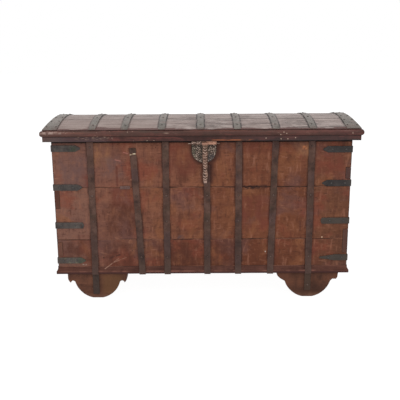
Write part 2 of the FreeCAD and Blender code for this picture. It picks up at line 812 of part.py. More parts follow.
# Hasp: a bar with a knuckle above, an eye behind and a tail that curves forward to a tapered tip.
bend_back = hasp_bend + hasp_thick
bend_centre = hasp_line + hasp_thick / 2 - bend_back
tail_sine = sine(hasp_bend_angle)
tail_cosine = cosine(hasp_bend_angle)
hasp = new_body("hasp")
pad(hasp, "side", hasp_place - hasp_half, hasp_place + hasp_half, [
    (hasp_line - hasp_thick / 2, hasp_height - hasp_pin_radius - 1.5),
    (hasp_line - hasp_thick / 2, eye_height, -hasp_bend),
    (bend_centre + hasp_bend * tail_cosine, eye_height - hasp_bend * tail_sine),
    (bend_centre + bend_back * tail_cosine, eye_height - bend_back * tail_sine, bend_back),
    (hasp_line + hasp_thick / 2, eye_height),
    (hasp_line + hasp_thick / 2, hasp_height - hasp_pin_radius - 1.5),
])
pad(hasp, "side", hasp_place - barrel_half, hasp_place + barrel_half,
    ("circle", hasp_line, hasp_height, barrel_radius))
pocket(hasp, "side", hasp_place - barrel_half, hasp_place + barrel_half,
       ("circle", hasp_line, hasp_height, hasp_pin_radius + running_gap))
eye_line = hasp_line + hasp_thick / 2 + eye_reach
pad(hasp, "side", hasp_place - eye_half, hasp_place + eye_half,
    rectangle(hasp_line, eye_height - eye_radius, eye_line, eye_height + eye_radius))
pad(hasp, "side", hasp_place - eye_half, hasp_place + eye_half, ("circle", eye_line, eye_height, eye_radius))
pocket(hasp, "side", hasp_place - eye_half, hasp_place + eye_half, ("circle", eye_line, eye_height, eye_bore))
trims = []
tail_drop = bend_back * tail_sine
for sign in (-1, 1):
    trims.append([(hasp_place + sign * (hasp_half + out), eye_height - tail_drop * share) for out, share in (
        (0, 0.19), (-2.5, 0.47), (0, 0.64), (-1, 0.79), (-6, 1.01), (-6, 1.07), (5, 1.07), (5, 0.19),
    )])
pocket(hasp, "front", hasp_line - 60, hasp_line + 20, *trims)
keep(hasp, "hasp")

# Nails: forged heads with four faces, seated on the iron.
TURNS = {"front": (0, 0, 1, 180), "back": (0, 0, 1, 0), "left": (0, 0, 1, 90), "right": (0, 0, 1, -90)}


def nail(group, place, line, height, facing):
    """One nail head whose base is centred on the point and whose crown points the given way."""
    head = doc.addObject("Part::Wedge", "nail")
    for name, item in (("Xmin", -nail_width / 2), ("Xmax", nail_width / 2), ("Zmin", -nail_width / 2),
                       ("Zmax", nail_width / 2), ("X2min", -nail_crown / 2), ("X2max", nail_crown / 2),
                       ("Z2min", -nail_crown / 2), ("Z2max", nail_crown / 2), ("Ymin", sized(0)), ("Ymax", nail_height)):
        head.setExpression(name, item.text)
    if facing in TURNS:
        x, y, z, angle = TURNS[facing]
        head.Placement = FreeCAD.Placement(FreeCAD.Vector(), FreeCAD.Rotation(FreeCAD.Vector(x, y, z), angle))
    else:
        turn = FreeCAD.Rotation(FreeCAD.Vector(1, 0, 0), 90 - facing)
        head.Placement = FreeCAD.Placement(FreeCAD.Vector(), turn)
    for letter, item in (("x", place), ("y", line), ("z", height)):
        head.setExpression("Placement.Base." + letter, sized(item).text)
    group.append(head)


chest_nails = []
strap_levels = [strap_top - 25, seam_high - 40, seam_low + 90, base_top + 45]
for number, place, top, ending in upright_straps:
    for height in strap_levels:
        if height.value < top.value - 15 and not (number == 4 and height.value > 560):
            nail(chest_nails, place, strap_face, height, "front")
    if number in (1, 7):
        nail(chest_nails, place, strap_face, base_height / 2, "front")
for number, place_top, place_foot, top in leaning_straps:
    for height in strap_levels[1:]:
        share = (height - base_height) / (joint_height - base_height)
        nail(chest_nails, place_foot + (place_top - place_foot) * share, strap_face, height, "front")
for side, sign in (("left", -1), ("right", 1)):
    for height in corner_heights[side]:
        for run in (28, 92):
            nail(chest_nails, sign * (half_width - run), strap_face, height, "front")
            nail(chest_nails, sign * (half_width - run), back + strap_thick, height, "back")
            nail(chest_nails, sign * (half_width + strap_thick), front + run, height, side)
            nail(chest_nails, sign * (half_width + strap_thick), back - run, height, side)
for place in hinge_places:
    for run in (45, 220, 395):
        nail(chest_nails, place, back + strap_thick, joint_height - leaf_length / 420 * run, "back")
for sign in (-1, 1):
    for run in (20, 52):
        nail(chest_nails, lock_place + sign * (lock_half - 12 - run / 6), strap_face, lock_top - run, "front")
group = doc.addObject("Part::Compound", "chest_nails")
group.Links = chest_nails
keep(group, "chest_nails")

lid_nails = []
for place in plain_places + hinge_places:
    for angle in (-15, -7, 3, 13):
        nail(lid_nails, place, dome_middle + dome_outside * sine(angle), dome_centre + dome_outside * cosine(angle), angle)
for sign in (-1, 1):
    for angle in (-16, -11, -6, 0, 6, 11, 16):
        line = dome_middle + dome_outside * sine(angle)
        height = dome_centre + dome_outside * cosine(angle)
        nail(lid_nails, sign * (lid_half - lid_rake * (height - rim_top) - 9), line, height, angle)
        nail(lid_nails, sign * (lid_half - band_width + 9), line, height, angle)
group = doc.addObject("Part::Compound", "lid_nails")
group.Links = lid_nails
keep(group, "lid_nails")

doc.recompute()
for item in doc.Objects:
    if "Invalid" in item.State or "Error" in item.State:
        raise RuntimeError("%s failed: %s" % (item.Label, item.State))
os.makedirs("parts", exist_ok=True)
for item in nodes:
    if item.Shape.isNull() or not item.Shape.isValid():
        raise RuntimeError("%s has no valid shape" % item.Label)
    item.Shape.exportStep("parts/%s.step" % item.Label)
print(len(nodes), "nodes")
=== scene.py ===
import json
import math
import random

import bpy
from mathutils import Matrix, Vector

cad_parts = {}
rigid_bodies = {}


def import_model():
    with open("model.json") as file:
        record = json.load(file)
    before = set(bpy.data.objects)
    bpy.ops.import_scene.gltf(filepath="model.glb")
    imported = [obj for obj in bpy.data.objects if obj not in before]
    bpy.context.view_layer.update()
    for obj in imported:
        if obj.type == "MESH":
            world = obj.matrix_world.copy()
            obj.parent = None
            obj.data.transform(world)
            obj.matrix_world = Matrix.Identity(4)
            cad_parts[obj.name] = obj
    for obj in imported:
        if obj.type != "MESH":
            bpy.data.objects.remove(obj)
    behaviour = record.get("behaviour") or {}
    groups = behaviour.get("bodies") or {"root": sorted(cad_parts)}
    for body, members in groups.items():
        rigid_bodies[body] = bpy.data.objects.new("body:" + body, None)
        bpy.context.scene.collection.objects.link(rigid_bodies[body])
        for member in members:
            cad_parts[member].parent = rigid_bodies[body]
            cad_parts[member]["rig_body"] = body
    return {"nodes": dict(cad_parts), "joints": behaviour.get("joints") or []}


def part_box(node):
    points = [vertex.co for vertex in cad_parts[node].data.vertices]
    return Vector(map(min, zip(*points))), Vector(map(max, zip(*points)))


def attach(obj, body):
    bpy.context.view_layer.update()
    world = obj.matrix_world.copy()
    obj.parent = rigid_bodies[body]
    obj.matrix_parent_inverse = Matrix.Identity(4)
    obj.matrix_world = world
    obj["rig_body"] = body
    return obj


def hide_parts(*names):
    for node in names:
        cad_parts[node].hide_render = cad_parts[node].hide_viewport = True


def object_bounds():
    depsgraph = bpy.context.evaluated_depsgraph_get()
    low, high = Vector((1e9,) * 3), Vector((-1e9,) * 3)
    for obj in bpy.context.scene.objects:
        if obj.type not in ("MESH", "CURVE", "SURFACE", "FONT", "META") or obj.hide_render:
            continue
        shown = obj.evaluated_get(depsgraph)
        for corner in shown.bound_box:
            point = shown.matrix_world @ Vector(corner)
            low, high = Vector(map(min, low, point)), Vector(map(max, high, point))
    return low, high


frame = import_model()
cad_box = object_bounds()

# Floor boards
# Two broad sawn boards of teak close the bottom of the chest, and the walls stand on their edges.
# They were never oiled: inside they are dusty, and below they have gone grey.
WELD = 0.00001
SLIVER = 0.0003
FLAT_ANGLE = math.radians(0.5)
ARRIS_ANGLE = math.radians(28)
SMOOTH_ANGLE = math.radians(35)


def take_up(piece):
    """Makes a piece the only thing selected, so that the next operator acts on it alone."""
    bpy.ops.object.select_all(action="DESELECT")
    bpy.context.view_layer.objects.active = piece
    piece.select_set(True)


def fix(piece, body, slot, *nodes):
    """Fixes a piece to its body and lets it stand for its nodes, which it hides. The slot is not used."""
    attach(piece, body)
    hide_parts(*nodes)


def wear_down(piece, depth, reach):
    """Lowers a piece's faces unevenly: long hollows from use, and small marks from the tools."""
    take_up(piece)
    for mark, length, sink in (("hollows", reach, depth), ("tool_marks", reach / 6, depth / 4)):
        texture = bpy.data.textures.new(piece.name + "_" + mark, "CLOUDS")
        texture.noise_scale = length
        texture.noise_depth = 1
        modifier = piece.modifiers.new(mark, "DISPLACE")
        modifier.texture = texture
        modifier.texture_coords = "LOCAL"
        modifier.mid_level = 1.0
        modifier.strength = sink
        bpy.ops.object.modifier_apply(modifier=mark)


def welded_copy(node, name):
    """Opens a copy of a node's mesh in edit mode, with its loose faces welded and its flat ones merged."""
    piece = bpy.data.objects.new(name, frame["nodes"][node].data.copy())
    bpy.context.collection.objects.link(piece)
    take_up(piece)
    bpy.ops.object.mode_set(mode="EDIT")
    bpy.ops.mesh.select_all(action="SELECT")
    bpy.ops.mesh.remove_doubles(threshold=WELD)
    bpy.ops.mesh.dissolve_limited(angle_limit=FLAT_ANGLE)
    return piece


def aged_copy(node, slot, cut, finish):
    """Cuts a piece to its node's outline, rubs its arrises round and wears its faces, all within its box.

    The cut says how far the arrises are rubbed, how finely the faces are divided along each axis, and
    how deep and how long the wear is.
    """
    arris, cells, depth, reach = cut
    piece = welded_copy(node, node + "_aged")
    bpy.ops.mesh.select_mode(type="EDGE")
    bpy.ops.mesh.select_all(action="DESELECT")
    bpy.ops.mesh.edges_select_sharp(sharpness=ARRIS_ANGLE)
    bpy.ops.mesh.bevel(offset=arris, segments=2, affect="EDGES", clamp_overlap=True)
    low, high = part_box(node)
    for axis, cell in enumerate(cells):
        count = int((high[axis] - low[axis]) / cell) if cell else 0
        across = [float(axis == other) for other in range(3)]
        for step in range(1, count):
            bpy.ops.mesh.select_all(action="SELECT")
            bpy.ops.mesh.bisect(plane_co=low + (high - low) * (step / count), plane_no=across)
    bpy.ops.mesh.select_all(action="SELECT")
    bpy.ops.mesh.remove_doubles(threshold=SLIVER)
    bpy.ops.mesh.quads_convert_to_tris()
    bpy.ops.object.mode_set(mode="OBJECT")
    wear_down(piece, depth, reach)
    for vertex in piece.data.vertices:
        for axis in range(3):
            vertex.co[axis] = min(max(vertex.co[axis], low[axis]), high[axis])
    bpy.ops.object.shade_smooth_by_angle(angle=SMOOTH_ANGLE)
    fix(piece, frame["nodes"][node]["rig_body"], slot, node)
    piece.data.materials[0] = finish
    return piece


LIGHT_LEVEL = 1.25


def seen(red, green, blue):
    """The linear colour that the eye reads as this one once the studio light has fallen on it."""
    channels = []
    for value in (red, green, blue):
        share = value / 255
        linear = share / 12.92 if share <= 0.04045 else ((share + 0.055) / 1.055) ** 2.4
        channels.append(linear / LIGHT_LEVEL)
    return (*channels, 1.0)


class Finish:
    """One surface finish, laid on coat by coat over the piece's own coordinates.

    Every colour is given as the eye reads it in the studio light: red, green and blue from 0 to 255.
    """

    def __init__(self, name, colour, roughness, metallic=0.0, specular=0.5, shift=(0.0, 0.0, 0.0)):
        self.material = bpy.data.materials.new(name)
        self.material.use_nodes = True
        self.tree = self.material.node_tree
        self.shader = self.tree.nodes["Principled BSDF"]
        self.feed(self.shader, "Metallic", metallic)
        self.feed(self.shader, "Specular IOR Level", specular)
        self.place = self.node("TexCoord", {}, "Object")
        self.axes = self.node("SeparateXYZ", {0: self.place}, slice(None))
        self.x, self.y, self.z = self.axes
        self.shift = shift
        self.colour = seen(*colour)
        self.roughness = roughness
        self.height = 0.0

    def feed(self, node, key, value):
        """Gives a node's input a value, or links another node's output to it."""
        if isinstance(value, bpy.types.NodeSocket):
            self.tree.links.new(value, node.inputs[key])
        else:
            node.inputs[key].default_value = value

    def node(self, kind, inputs, output=0, **settings):
        """Adds a node, feeds its inputs with values or with other nodes' outputs, and gives its output."""
        made = self.tree.nodes.new("ShaderNode" + kind)
        for setting, value in settings.items():
            setattr(made, setting, value)
        for key, value in inputs.items():
            self.feed(made, key, value)
        return made.outputs[output]

    def calc(self, operation, first, second=0.0):
        return self.node("Math", {0: first, 1: second}, operation=operation)

    def band(self, value, low, high, start=0.0, end=1.0, course="SMOOTHSTEP"):
        """Goes from start to end, smoothly unless told otherwise, as the value goes from low to high."""
        limits = {"From Min": low, "From Max": high, "To Min": start, "To Max": end}
        return self.node("MapRange", {"Value": value, **limits}, interpolation_type=course)

    def noise(self, scale, detail=3.0, roughness=0.55, distortion=0.0):
        """A noise pattern whose scale, in counts a metre, is one number or differs along each axis."""
        scale = (scale, scale, scale) if isinstance(scale, float) else scale
        spread = self.node("Mapping", {"Vector": self.place, "Location": self.shift, "Scale": scale})
        inputs = {"Vector": spread, "Scale": 1.0, "Detail": detail}
        return self.node("TexNoise", {**inputs, "Roughness": roughness, "Distortion": distortion})

    def gap(self, value, middle):
        """How far a value is from a middle one."""
        return self.calc("ABSOLUTE", self.calc("SUBTRACT", value, middle))

    def near(self, axis, middle, half, soft):
        """One within half of a middle place along an axis, falling to none over the soft length."""
        return self.band(self.gap(self.axes[axis], middle), half, half + soft, 1.0, 0.0)

    def both(self, *masks):
        """The product of several masks."""
        product = masks[0]
        for mask in masks[1:]:
            product = self.calc("MULTIPLY", product, mask)
        return product

    def span(self, first, second):
        """The length that two lengths at right angles make together."""
        return self.calc("SQRT", self.calc("ADD", self.both(first, first), self.both(second, second)))

    def coat(self, colour, *masks):
        """Lays a colour over the coats so far, where all the masks meet."""
        inputs = {0: self.both(*masks), 6: self.colour, 7: seen(*colour)}
        self.colour = self.node("Mix", inputs, 2, data_type="RGBA")

    def wash(self, colour, value, low, high, share=1.0, *masks):
        """Lays a colour where the masks meet, up to the share, as the value goes from low to high."""
        self.coat(colour, *masks, self.band(value, low, high, 0.0, share))

    def roughen(self, mask, roughness):
        """Brings the surface to another roughness where the mask is full."""
        self.roughness = self.band(mask, 0.0, 1.0, self.roughness, roughness, "LINEAR")

    def lift(self, mask, depth):
        """Adds relief, in metres, for the light to catch."""
        self.height = self.calc("ADD", self.height, self.both(mask, depth))

    def done(self):
        """Connects the coats to the shader and gives the material."""
        self.feed(self.shader, "Base Color", self.colour)
        self.feed(self.shader, "Roughness", self.roughness)
        relief = self.node("Bump", {"Strength": 1.0, "Distance": 1.0, "Height": self.height})
        self.feed(self.shader, "Normal", relief)
        return self.material


def drawn(along, long, across):
    """Three values, one along the grain and another across it."""
    return [long if axis == along else across for axis in range(3)]


def teak(name, dark, middle, light, along, shift, roughness=0.6, specular=0.15):
    """Old teak: broad figure, fibres and open pores along the grain, and patches where it was handled."""
    wood = Finish(name, middle, roughness, specular=specular, shift=shift)
    figure = wood.noise(drawn(along, 1.3, 13.0), detail=5.0, distortion=0.8)
    patches = wood.noise(5.0, detail=5.0, roughness=0.6)
    blots = wood.noise((17.0, 17.0, 13.0), detail=5.0, roughness=0.7)
    runs = wood.noise((22.0, 22.0, 5.0), detail=4.0, roughness=0.6, distortion=0.5)
    fibres = wood.noise(drawn(along, 5.0, 110.0), detail=4.0, roughness=0.65)
    pores = wood.noise(drawn(along, 45.0, 900.0), detail=2.0)
    wood.wash(light, figure, 0.38, 0.7)
    wood.wash(dark, patches, 0.48, 0.72, 0.8)
    wood.wash(dark, blots, 0.52, 0.72, 0.75)
    wood.wash(light, blots, 0.48, 0.28, 0.7)
    wood.wash(dark, runs, 0.5, 0.72, 0.45)
    wood.wash(light, runs, 0.48, 0.28, 0.45)
    wood.wash(dark, fibres, 0.5, 0.7, 0.4)
    wood.wash((38, 22, 18), pores, 0.62, 0.7, 0.5)
    wood.roughen(wood.band(fibres, 0.3, 0.7), roughness + 0.15)
    wood.lift(fibres, 0.0006)
    wood.lift(wood.band(pores, 0.7, 0.6), 0.0002)
    wood.lift(figure, 0.0008)
    return wood


FLOOR_CUT = (0.0015, (0.05, 0.04, 0.0), 0.0012, 0.09)
FLOOR_TONES = ((78, 60, 50), (112, 88, 73), (134, 110, 94))
floor_finish = teak("floor_wood_dusty", *FLOOR_TONES, 0, (3.1, 7.7, 1.9), 0.8).done()
for node in ("floor_board_front", "floor_board_back"):
    aged_copy(node, "body_wood", FLOOR_CUT, floor_finish)

# Wall planks
# Three wide teak planks make the front and the back, and two each end, with their fingers cut through
# at the corners. They were oiled and rubbed red-brown, more faded at the left, with grime and painted
# shade along the irons.
WALL_CELL = 0.016
FACE_CUT = (0.0006, (WALL_CELL, 0.0, WALL_CELL), 0.0008, 0.11)
END_CUT = (0.0006, (0.0, WALL_CELL, WALL_CELL), 0.0008, 0.11)
STRAP_FOOT = 0.02
STRAP_HEAD = 0.003
UNDER_LID = 0.771
SEAMS = [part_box("front_plank_" + tier)[1].z for tier in ("lower", "middle")]
# dark brown for dirt in the joints, and for painted shade beside the straps, under the moulding and under
# the nosing
GRIME_AND_SHADE = (50, 30, 26)
SCRATCHED = (158, 120, 102)
DARK_ARRIS = (50, 38, 36)
REDDENED = (108, 56, 43)
DARKENED = (80, 42, 30)
VIOLET = (104, 76, 72)
AMBER = (150, 102, 70)
plate_low, plate_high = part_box("lock_plate")
plate_half = (plate_high.x - plate_low.x) / 2
plate_middle = (plate_low.x + plate_high.x) / 2
wall_tones = {
    "upper": ((78, 42, 32), (110, 65, 48), (134, 84, 62)),
    "middle": ((76, 41, 30), (108, 63, 44), (134, 83, 58)),
    "lower": ((64, 34, 25), (94, 53, 37), (118, 68, 47)),
}
tones_along = (
    (0.05, -0.66, 0.5, (126, 87, 76)), (-0.15, 0.3, 0.45, (106, 57, 32)),
    (0.35, 0.6, 0.15, (84, 52, 40)), (-0.5, -0.56, 0.3, (128, 98, 86)),
    (0.5, 0.56, 0.25, (96, 70, 52)),
)
finger_tones = {
    "left_end_plank_lower": (106, 70, 57), "left_end_plank_upper": (78, 48, 40),
    "right_end_plank_lower": (74, 53, 49), "right_end_plank_upper": (68, 50, 49),
}
front_patches = (
    (-0.47, 0.715, 0.02, 0.035, AMBER), (-0.42, 0.65, 0.03, 0.03, VIOLET),
    (-0.6, 0.62, 0.05, 0.06, VIOLET), (-0.535, 0.585, 0.008, 0.014, REDDENED),
    (-0.37, 0.5, 0.04, 0.03, REDDENED), (-0.39, 0.4, 0.05, 0.06, DARKENED),
    (-0.085, 0.63, 0.006, 0.03, DARKENED), (-0.1, 0.68, 0.05, 0.05, REDDENED),
    (0.26, 0.75, 0.06, 0.015, REDDENED), (0.6, 0.67, 0.05, 0.04, REDDENED),
    (0.25, 0.43, 0.05, 0.06, REDDENED), (-0.4, 0.22, 0.05, 0.04, DARKENED),
    (-0.1, 0.22, 0.05, 0.04, DARKENED), (0.1, 0.22, 0.05, 0.05, DARKENED),
    (0.475, 0.735, 0.015, 0.015, AMBER), (-0.65, 0.76, 0.04, 0.01, VIOLET),
    (-0.6, 0.24, 0.06, 0.04, DARKENED), (-0.555, 0.25, 0.012, 0.004, REDDENED),
    (0.54, 0.27, 0.006, 0.08, REDDENED),
)
dark_scrapes = (
    ((-0.484, 0.205), (-0.455, 0.212)), ((-0.452, 0.201), (-0.424, 0.215)),
    ((-0.42, 0.213), (-0.394, 0.223)),
)
long_scratch = (
    ((-0.476, 0.149), (-0.423, 0.187), 1.0), ((-0.447, 0.172), (-0.403, 0.204), 0.5),
    ((-0.43, 0.182), (-0.366, 0.208), 0.6),
)


def strap_line(strap):
    """The middle of a front strap at its foot and at its head, and how far up each is."""
    points = [vertex.co for vertex in frame["nodes"][strap].data.vertices]
    foot_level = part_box("front_plank_lower")[0].z + STRAP_FOOT
    head_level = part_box(strap)[1].z
    feet = [point.x for point in points if point.z < foot_level]
    heads = [point.x for point in points if point.z > head_level - STRAP_HEAD]
    foot = (min(feet) + max(feet)) / 2
    head = (min(heads) + max(heads)) / 2
    return foot, head, foot_level, head_level


def strap_grime_and_shade(wood):
    """Old wax and dirt in the corner between each front strap and the wood, with painted shade there too.
    """
    closest = 1.0
    for number in range(1, 8):
        foot, head, low, high = strap_line(f"front_strap_{number}")
        lean = (head - foot) / (high - low)
        line = {0: wood.z, 1: lean, 2: foot - low * lean}
        middle = wood.node("Math", line, operation="MULTIPLY_ADD")
        apart = wood.gap(wood.x, middle)
        above = wood.calc("GREATER_THAN", wood.z, high)
        closest = wood.calc("MINIMUM", closest, wood.calc("ADD", apart, above))
    left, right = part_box("front_strap_3")
    half = (right.x - left.x) / 2
    smudge = wood.noise((30.0, 30.0, 7.0), detail=4.0)
    edge = wood.band(closest, half, half + 0.011, 0.75, 0.0)
    # painted shade and dirt: the wood is darkened for about 11 mm beside both edges of each front strap
    wood.coat(GRIME_AND_SHADE, edge, wood.band(smudge, 0.36, 0.62))


def seam_grime(wood, seams):
    """Dusty wax that fills the joints between planks, and stretches where dirt has worked in instead."""
    smudge = wood.noise((7.0, 7.0, 30.0), detail=4.0)
    dirty = wood.band(smudge, 0.43, 0.55, 0.0, 0.85)
    for seam in seams:
        wood.coat((150, 102, 82), wood.near(2, seam, 0.0014, 0.0008))
        wood.coat(GRIME_AND_SHADE, wood.near(2, seam, 0.001, 0.004), dirty)


def scratches(wood, colour):
    """Fine bare lines where things were dragged across the face."""
    drag = wood.noise((3.0, 3.0, 11.0), detail=2.0, distortion=1.2)
    line = wood.band(wood.gap(drag, 0.53), 0.0, 0.0035, 1.0, 0.0)
    wood.wash(colour, wood.noise(6.0), 0.58, 0.68, 1.0, line)


def patina(wood, along):
    """Old polish: patches gone red, violet or amber, and short pale or dark strokes along the grain."""
    for scale, twist, colour in (
        ((6.0, 6.0, 8.0), 0.0, (124, 62, 45)),
        ((4.5, 4.5, 6.0), 0.3, (102, 68, 62)),
        ((8.0, 8.0, 5.0), 0.7, (132, 82, 53)),
    ):
        patch = wood.noise(scale, detail=5.0, roughness=0.6, distortion=twist)
        wood.wash(colour, patch, 0.5, 0.66, 0.65)
    pale = wood.noise(drawn(along, 16.0, 85.0), roughness=0.6)
    wood.wash((158, 108, 86), pale, 0.6, 0.74, 0.55)
    wood.wash((66, 36, 29), pale, 0.4, 0.27, 0.6)
    wipes = wood.noise((75.0, 75.0, 16.0), roughness=0.6)
    wood.wash((146, 97, 76), wipes, 0.55, 0.72, 0.55)
    wood.wash((76, 42, 33), wipes, 0.45, 0.28, 0.5)
    mottle = wood.noise((48.0, 48.0, 80.0), detail=5.0, roughness=0.7)
    wood.wash((140, 92, 68), mottle, 0.54, 0.68, 0.4)
    wood.wash((72, 39, 28), mottle, 0.46, 0.32, 0.45)


def chips(wood, colour, count, share):
    """Small bare chips and specks, count of them to the metre."""
    cells = wood.node("TexVoronoi", {"Vector": wood.place, "Scale": count}, 0)
    where = wood.band(wood.noise(7.0, detail=4.0), 0.66 - share, 0.7 - share)
    wood.coat(colour, wood.band(cells, 0.12, 0.2, 0.85, 0.0), where)


def inner_face(wood, axis, inside):
    """Bare, dusty wood on the side of a wall that faces into the chest."""
    wood.coat((120, 92, 74), wood.near(axis, inside, 0.002, 0.002), 0.85)


def dab(wood, across, up, half_wide, half_tall, soft):
    """A soft-edged mark of a given half width and half height on an upright face."""
    return wood.both(wood.near(0, across, half_wide, soft), wood.near(2, up, half_tall, soft))


def stroke(wood, start, end, half, soft):
    """A straight scratch on an upright face, from one place across and up to another."""
    run = Vector(end) - Vector(start)
    along = run.normalized()
    across = wood.calc("SUBTRACT", wood.x, start[0])
    up = wood.calc("SUBTRACT", wood.z, start[1])
    far = wood.calc("ADD", wood.both(across, along.x), wood.both(up, along.y))
    off = wood.gap(wood.both(across, along.y), wood.both(up, along.x))
    within = wood.both(wood.band(far, 0.0, soft), wood.band(far, run.length - soft, run.length, 1.0, 0.0))
    return wood.both(within, wood.band(off, half, half + soft, 1.0, 0.0))


def old_marks(wood, node):
    """The marks of use that each front plank has of its own, over patches where the polish has turned, and
    a painted shadow along the top of the upper plank under the lid.
    """
    ragged = wood.noise(60.0)
    broken = wood.band(ragged, 0.35, 0.55)
    cloudy = wood.band(wood.noise((26.0, 26.0, 16.0), detail=6.0, roughness=0.65), 0.36, 0.64, 0.1, 0.75)
    low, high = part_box(node)
    for across, up, half_wide, half_tall, colour in front_patches:
        if low.z < up < high.z:
            wood.coat(colour, dab(wood, across, up, half_wide, half_tall, 0.04), cloudy)
    splinters = wood.band(wood.noise((42.0, 42.0, 150.0), detail=5.0, roughness=0.7), 0.44, 0.56, 0.1, 1.0)
    wood.coat((46, 27, 25), dab(wood, 0.25, SEAMS[1] - 0.002, 0.05, 0.004, 0.011), splinters)
    if node == "front_plank_lower":
        for start, end in dark_scrapes:
            wood.coat((70, 40, 33), stroke(wood, start, end, 0.0012, 0.005), broken)
        for start, end, strength in long_scratch:
            line = wood.both(stroke(wood, start, end, 0.0003, 0.0026), strength)
            wood.coat(SCRATCHED, line, wood.band(ragged, 0.3, 0.5, 0.3, 1.0))
        wood.coat((150, 128, 114), dab(wood, -0.572, 0.172, 0.008, 0.001, 0.004), broken)
        wood.coat((190, 172, 160), dab(wood, 0.304, 0.233, 0.0008, 0.0015, 0.003))
    if node == "front_plank_middle":
        wood.coat((226, 190, 160), dab(wood, 0.575, 0.304, 0.001, 0.001, 0.003))
        wood.coat((92, 65, 60), dab(wood, -0.104, 0.305, 0.008, 0.003, 0.016), broken)
    if node == "front_plank_upper":
        wood.coat((184, 114, 74), dab(wood, 0.479, 0.738, 0.004, 0.003, 0.01), broken)
        for across, up in ((-0.313, 0.714), (-0.318, 0.711), (-0.331, 0.707)):
            wood.coat((226, 206, 176), dab(wood, across, up, 0.001, 0.001, 0.006), broken)
        smear = stroke(wood, (-0.4, 0.66), (-0.398, 0.556), 0.0015, 0.007)
        wood.coat((98, 53, 43), smear, wood.band(ragged, 0.2, 0.6, 0.4, 0.9))
        for start, end in (((-0.368, 0.721), (-0.342, 0.713)), ((-0.408, 0.686), (-0.378, 0.679))):
            wood.coat((156, 100, 88), stroke(wood, start, end, 0.0005, 0.003))
        # painted shadow: a near-black ragged line along the top of the upper plank, under the lid
        shaded = wood.near(2, UNDER_LID, 0.003, 0.007)
        wood.coat((24, 12, 10), shaded, wood.band(ragged, 0.1, 0.5, 0.7, 1.0))


def wall_marks(wood, along, seams):
    """What every wall plank shows: old polish, scratches, chips, and wax in its joints."""
    patina(wood, along)
    scratches(wood, (168, 122, 100))
    chips(wood, (52, 30, 24), 70.0, 0.1)
    seam_grime(wood, seams)


def lock_grease_and_shade(wood):
    """Dirt and grease that hands have left round the lock plate, and below it beside the hasp, together
    with painted shade round the plate and in the shadow of the hasp.
    """
    rub = wood.noise((30.0, 30.0, 18.0), detail=4.0)
    across = wood.calc("SUBTRACT", wood.x, plate_middle + 0.004)
    drop = wood.calc("MAXIMUM", wood.calc("SUBTRACT", plate_low.z + plate_half, wood.z), 0.0)
    # painted shade and grease: a dark ring round the plate, offset a little to the right
    halo = wood.band(wood.span(across, drop), plate_half + 0.002, plate_half + 0.024, 0.85, 0.0)
    # painted shadow of the hasp on the wood below the plate, to the right of the hasp
    below = wood.both(dab(wood, 0.026, 0.622, 0.018, 0.045, 0.02), 0.8)
    greased_and_shaded = wood.calc("MAXIMUM", halo, below)
    wood.coat((62, 33, 27), greased_and_shaded, wood.band(rub, 0.2, 0.6, 0.6, 1.0))


def dark_arris(wood, corners):
    """Darkens the upright corners of the chest in broken patches."""
    broken_patches = wood.band(wood.noise((60.0, 60.0, 26.0), detail=4.0), 0.42, 0.54, 0.25, 0.9)
    wood.coat(DARK_ARRIS, corners, broken_patches)


for side, outward in (("front", -1.0), ("back", 1.0)):
    for order, tier in enumerate(("lower", "middle", "upper")):
        node = f"{side}_plank_{tier}"
        shift = (2.3 * order + 5.0 * outward, 4.1 * order, 1.7 + 3.9 * order)
        wood = teak(node + "_teak", *wall_tones[tier], 0, shift)
        for start, end, share, colour in tones_along:
            wood.wash(colour, wood.x, start, end, share)
        if node == "front_plank_lower":
            wood.coat((88, 44, 28), wood.near(0, 0.05, 0.25, 0.15), 0.4)
        wall_marks(wood, 0, SEAMS)
        if side == "front":
            strap_grime_and_shade(wood)
            old_marks(wood, node)
        if node == "front_plank_upper":
            lock_grease_and_shade(wood)
        low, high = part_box(node)
        corners = [wood.near(0, corner.x, 0.001, 0.005) for corner in (low, high)]
        dark_arris(wood, wood.calc("MAXIMUM", *corners))
        inner_face(wood, 1, high.y if outward < 0 else low.y)
        aged_copy(node, "body_wood", FACE_CUT, wood.done())
for side, outward in (("left", -1.0), ("right", 1.0)):
    for order, tier in enumerate(("lower", "upper")):
        node = f"{side}_end_plank_{tier}"
        shift = (8.0 + 3.0 * outward, 2.7 * order, 6.1 * order)
        wood = teak(node + "_teak", *wall_tones[tier], 1, shift)
        wall_marks(wood, 1, [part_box(f"{side}_end_plank_lower")[1].z])
        low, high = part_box(node)
        outside, inside = (low.x, high.x) if outward < 0 else (high.x, low.x)
        inner_face(wood, 0, inside)
        end_grain = wood.near(1, low.y, 0.002, 0.001)
        wood.coat(finger_tones[node], end_grain, 0.75)
        dark_arris(wood, wood.both(end_grain, wood.near(0, outside, 0.001, 0.005)))
        aged_copy(node, "body_wood", END_CUT, wood.done())

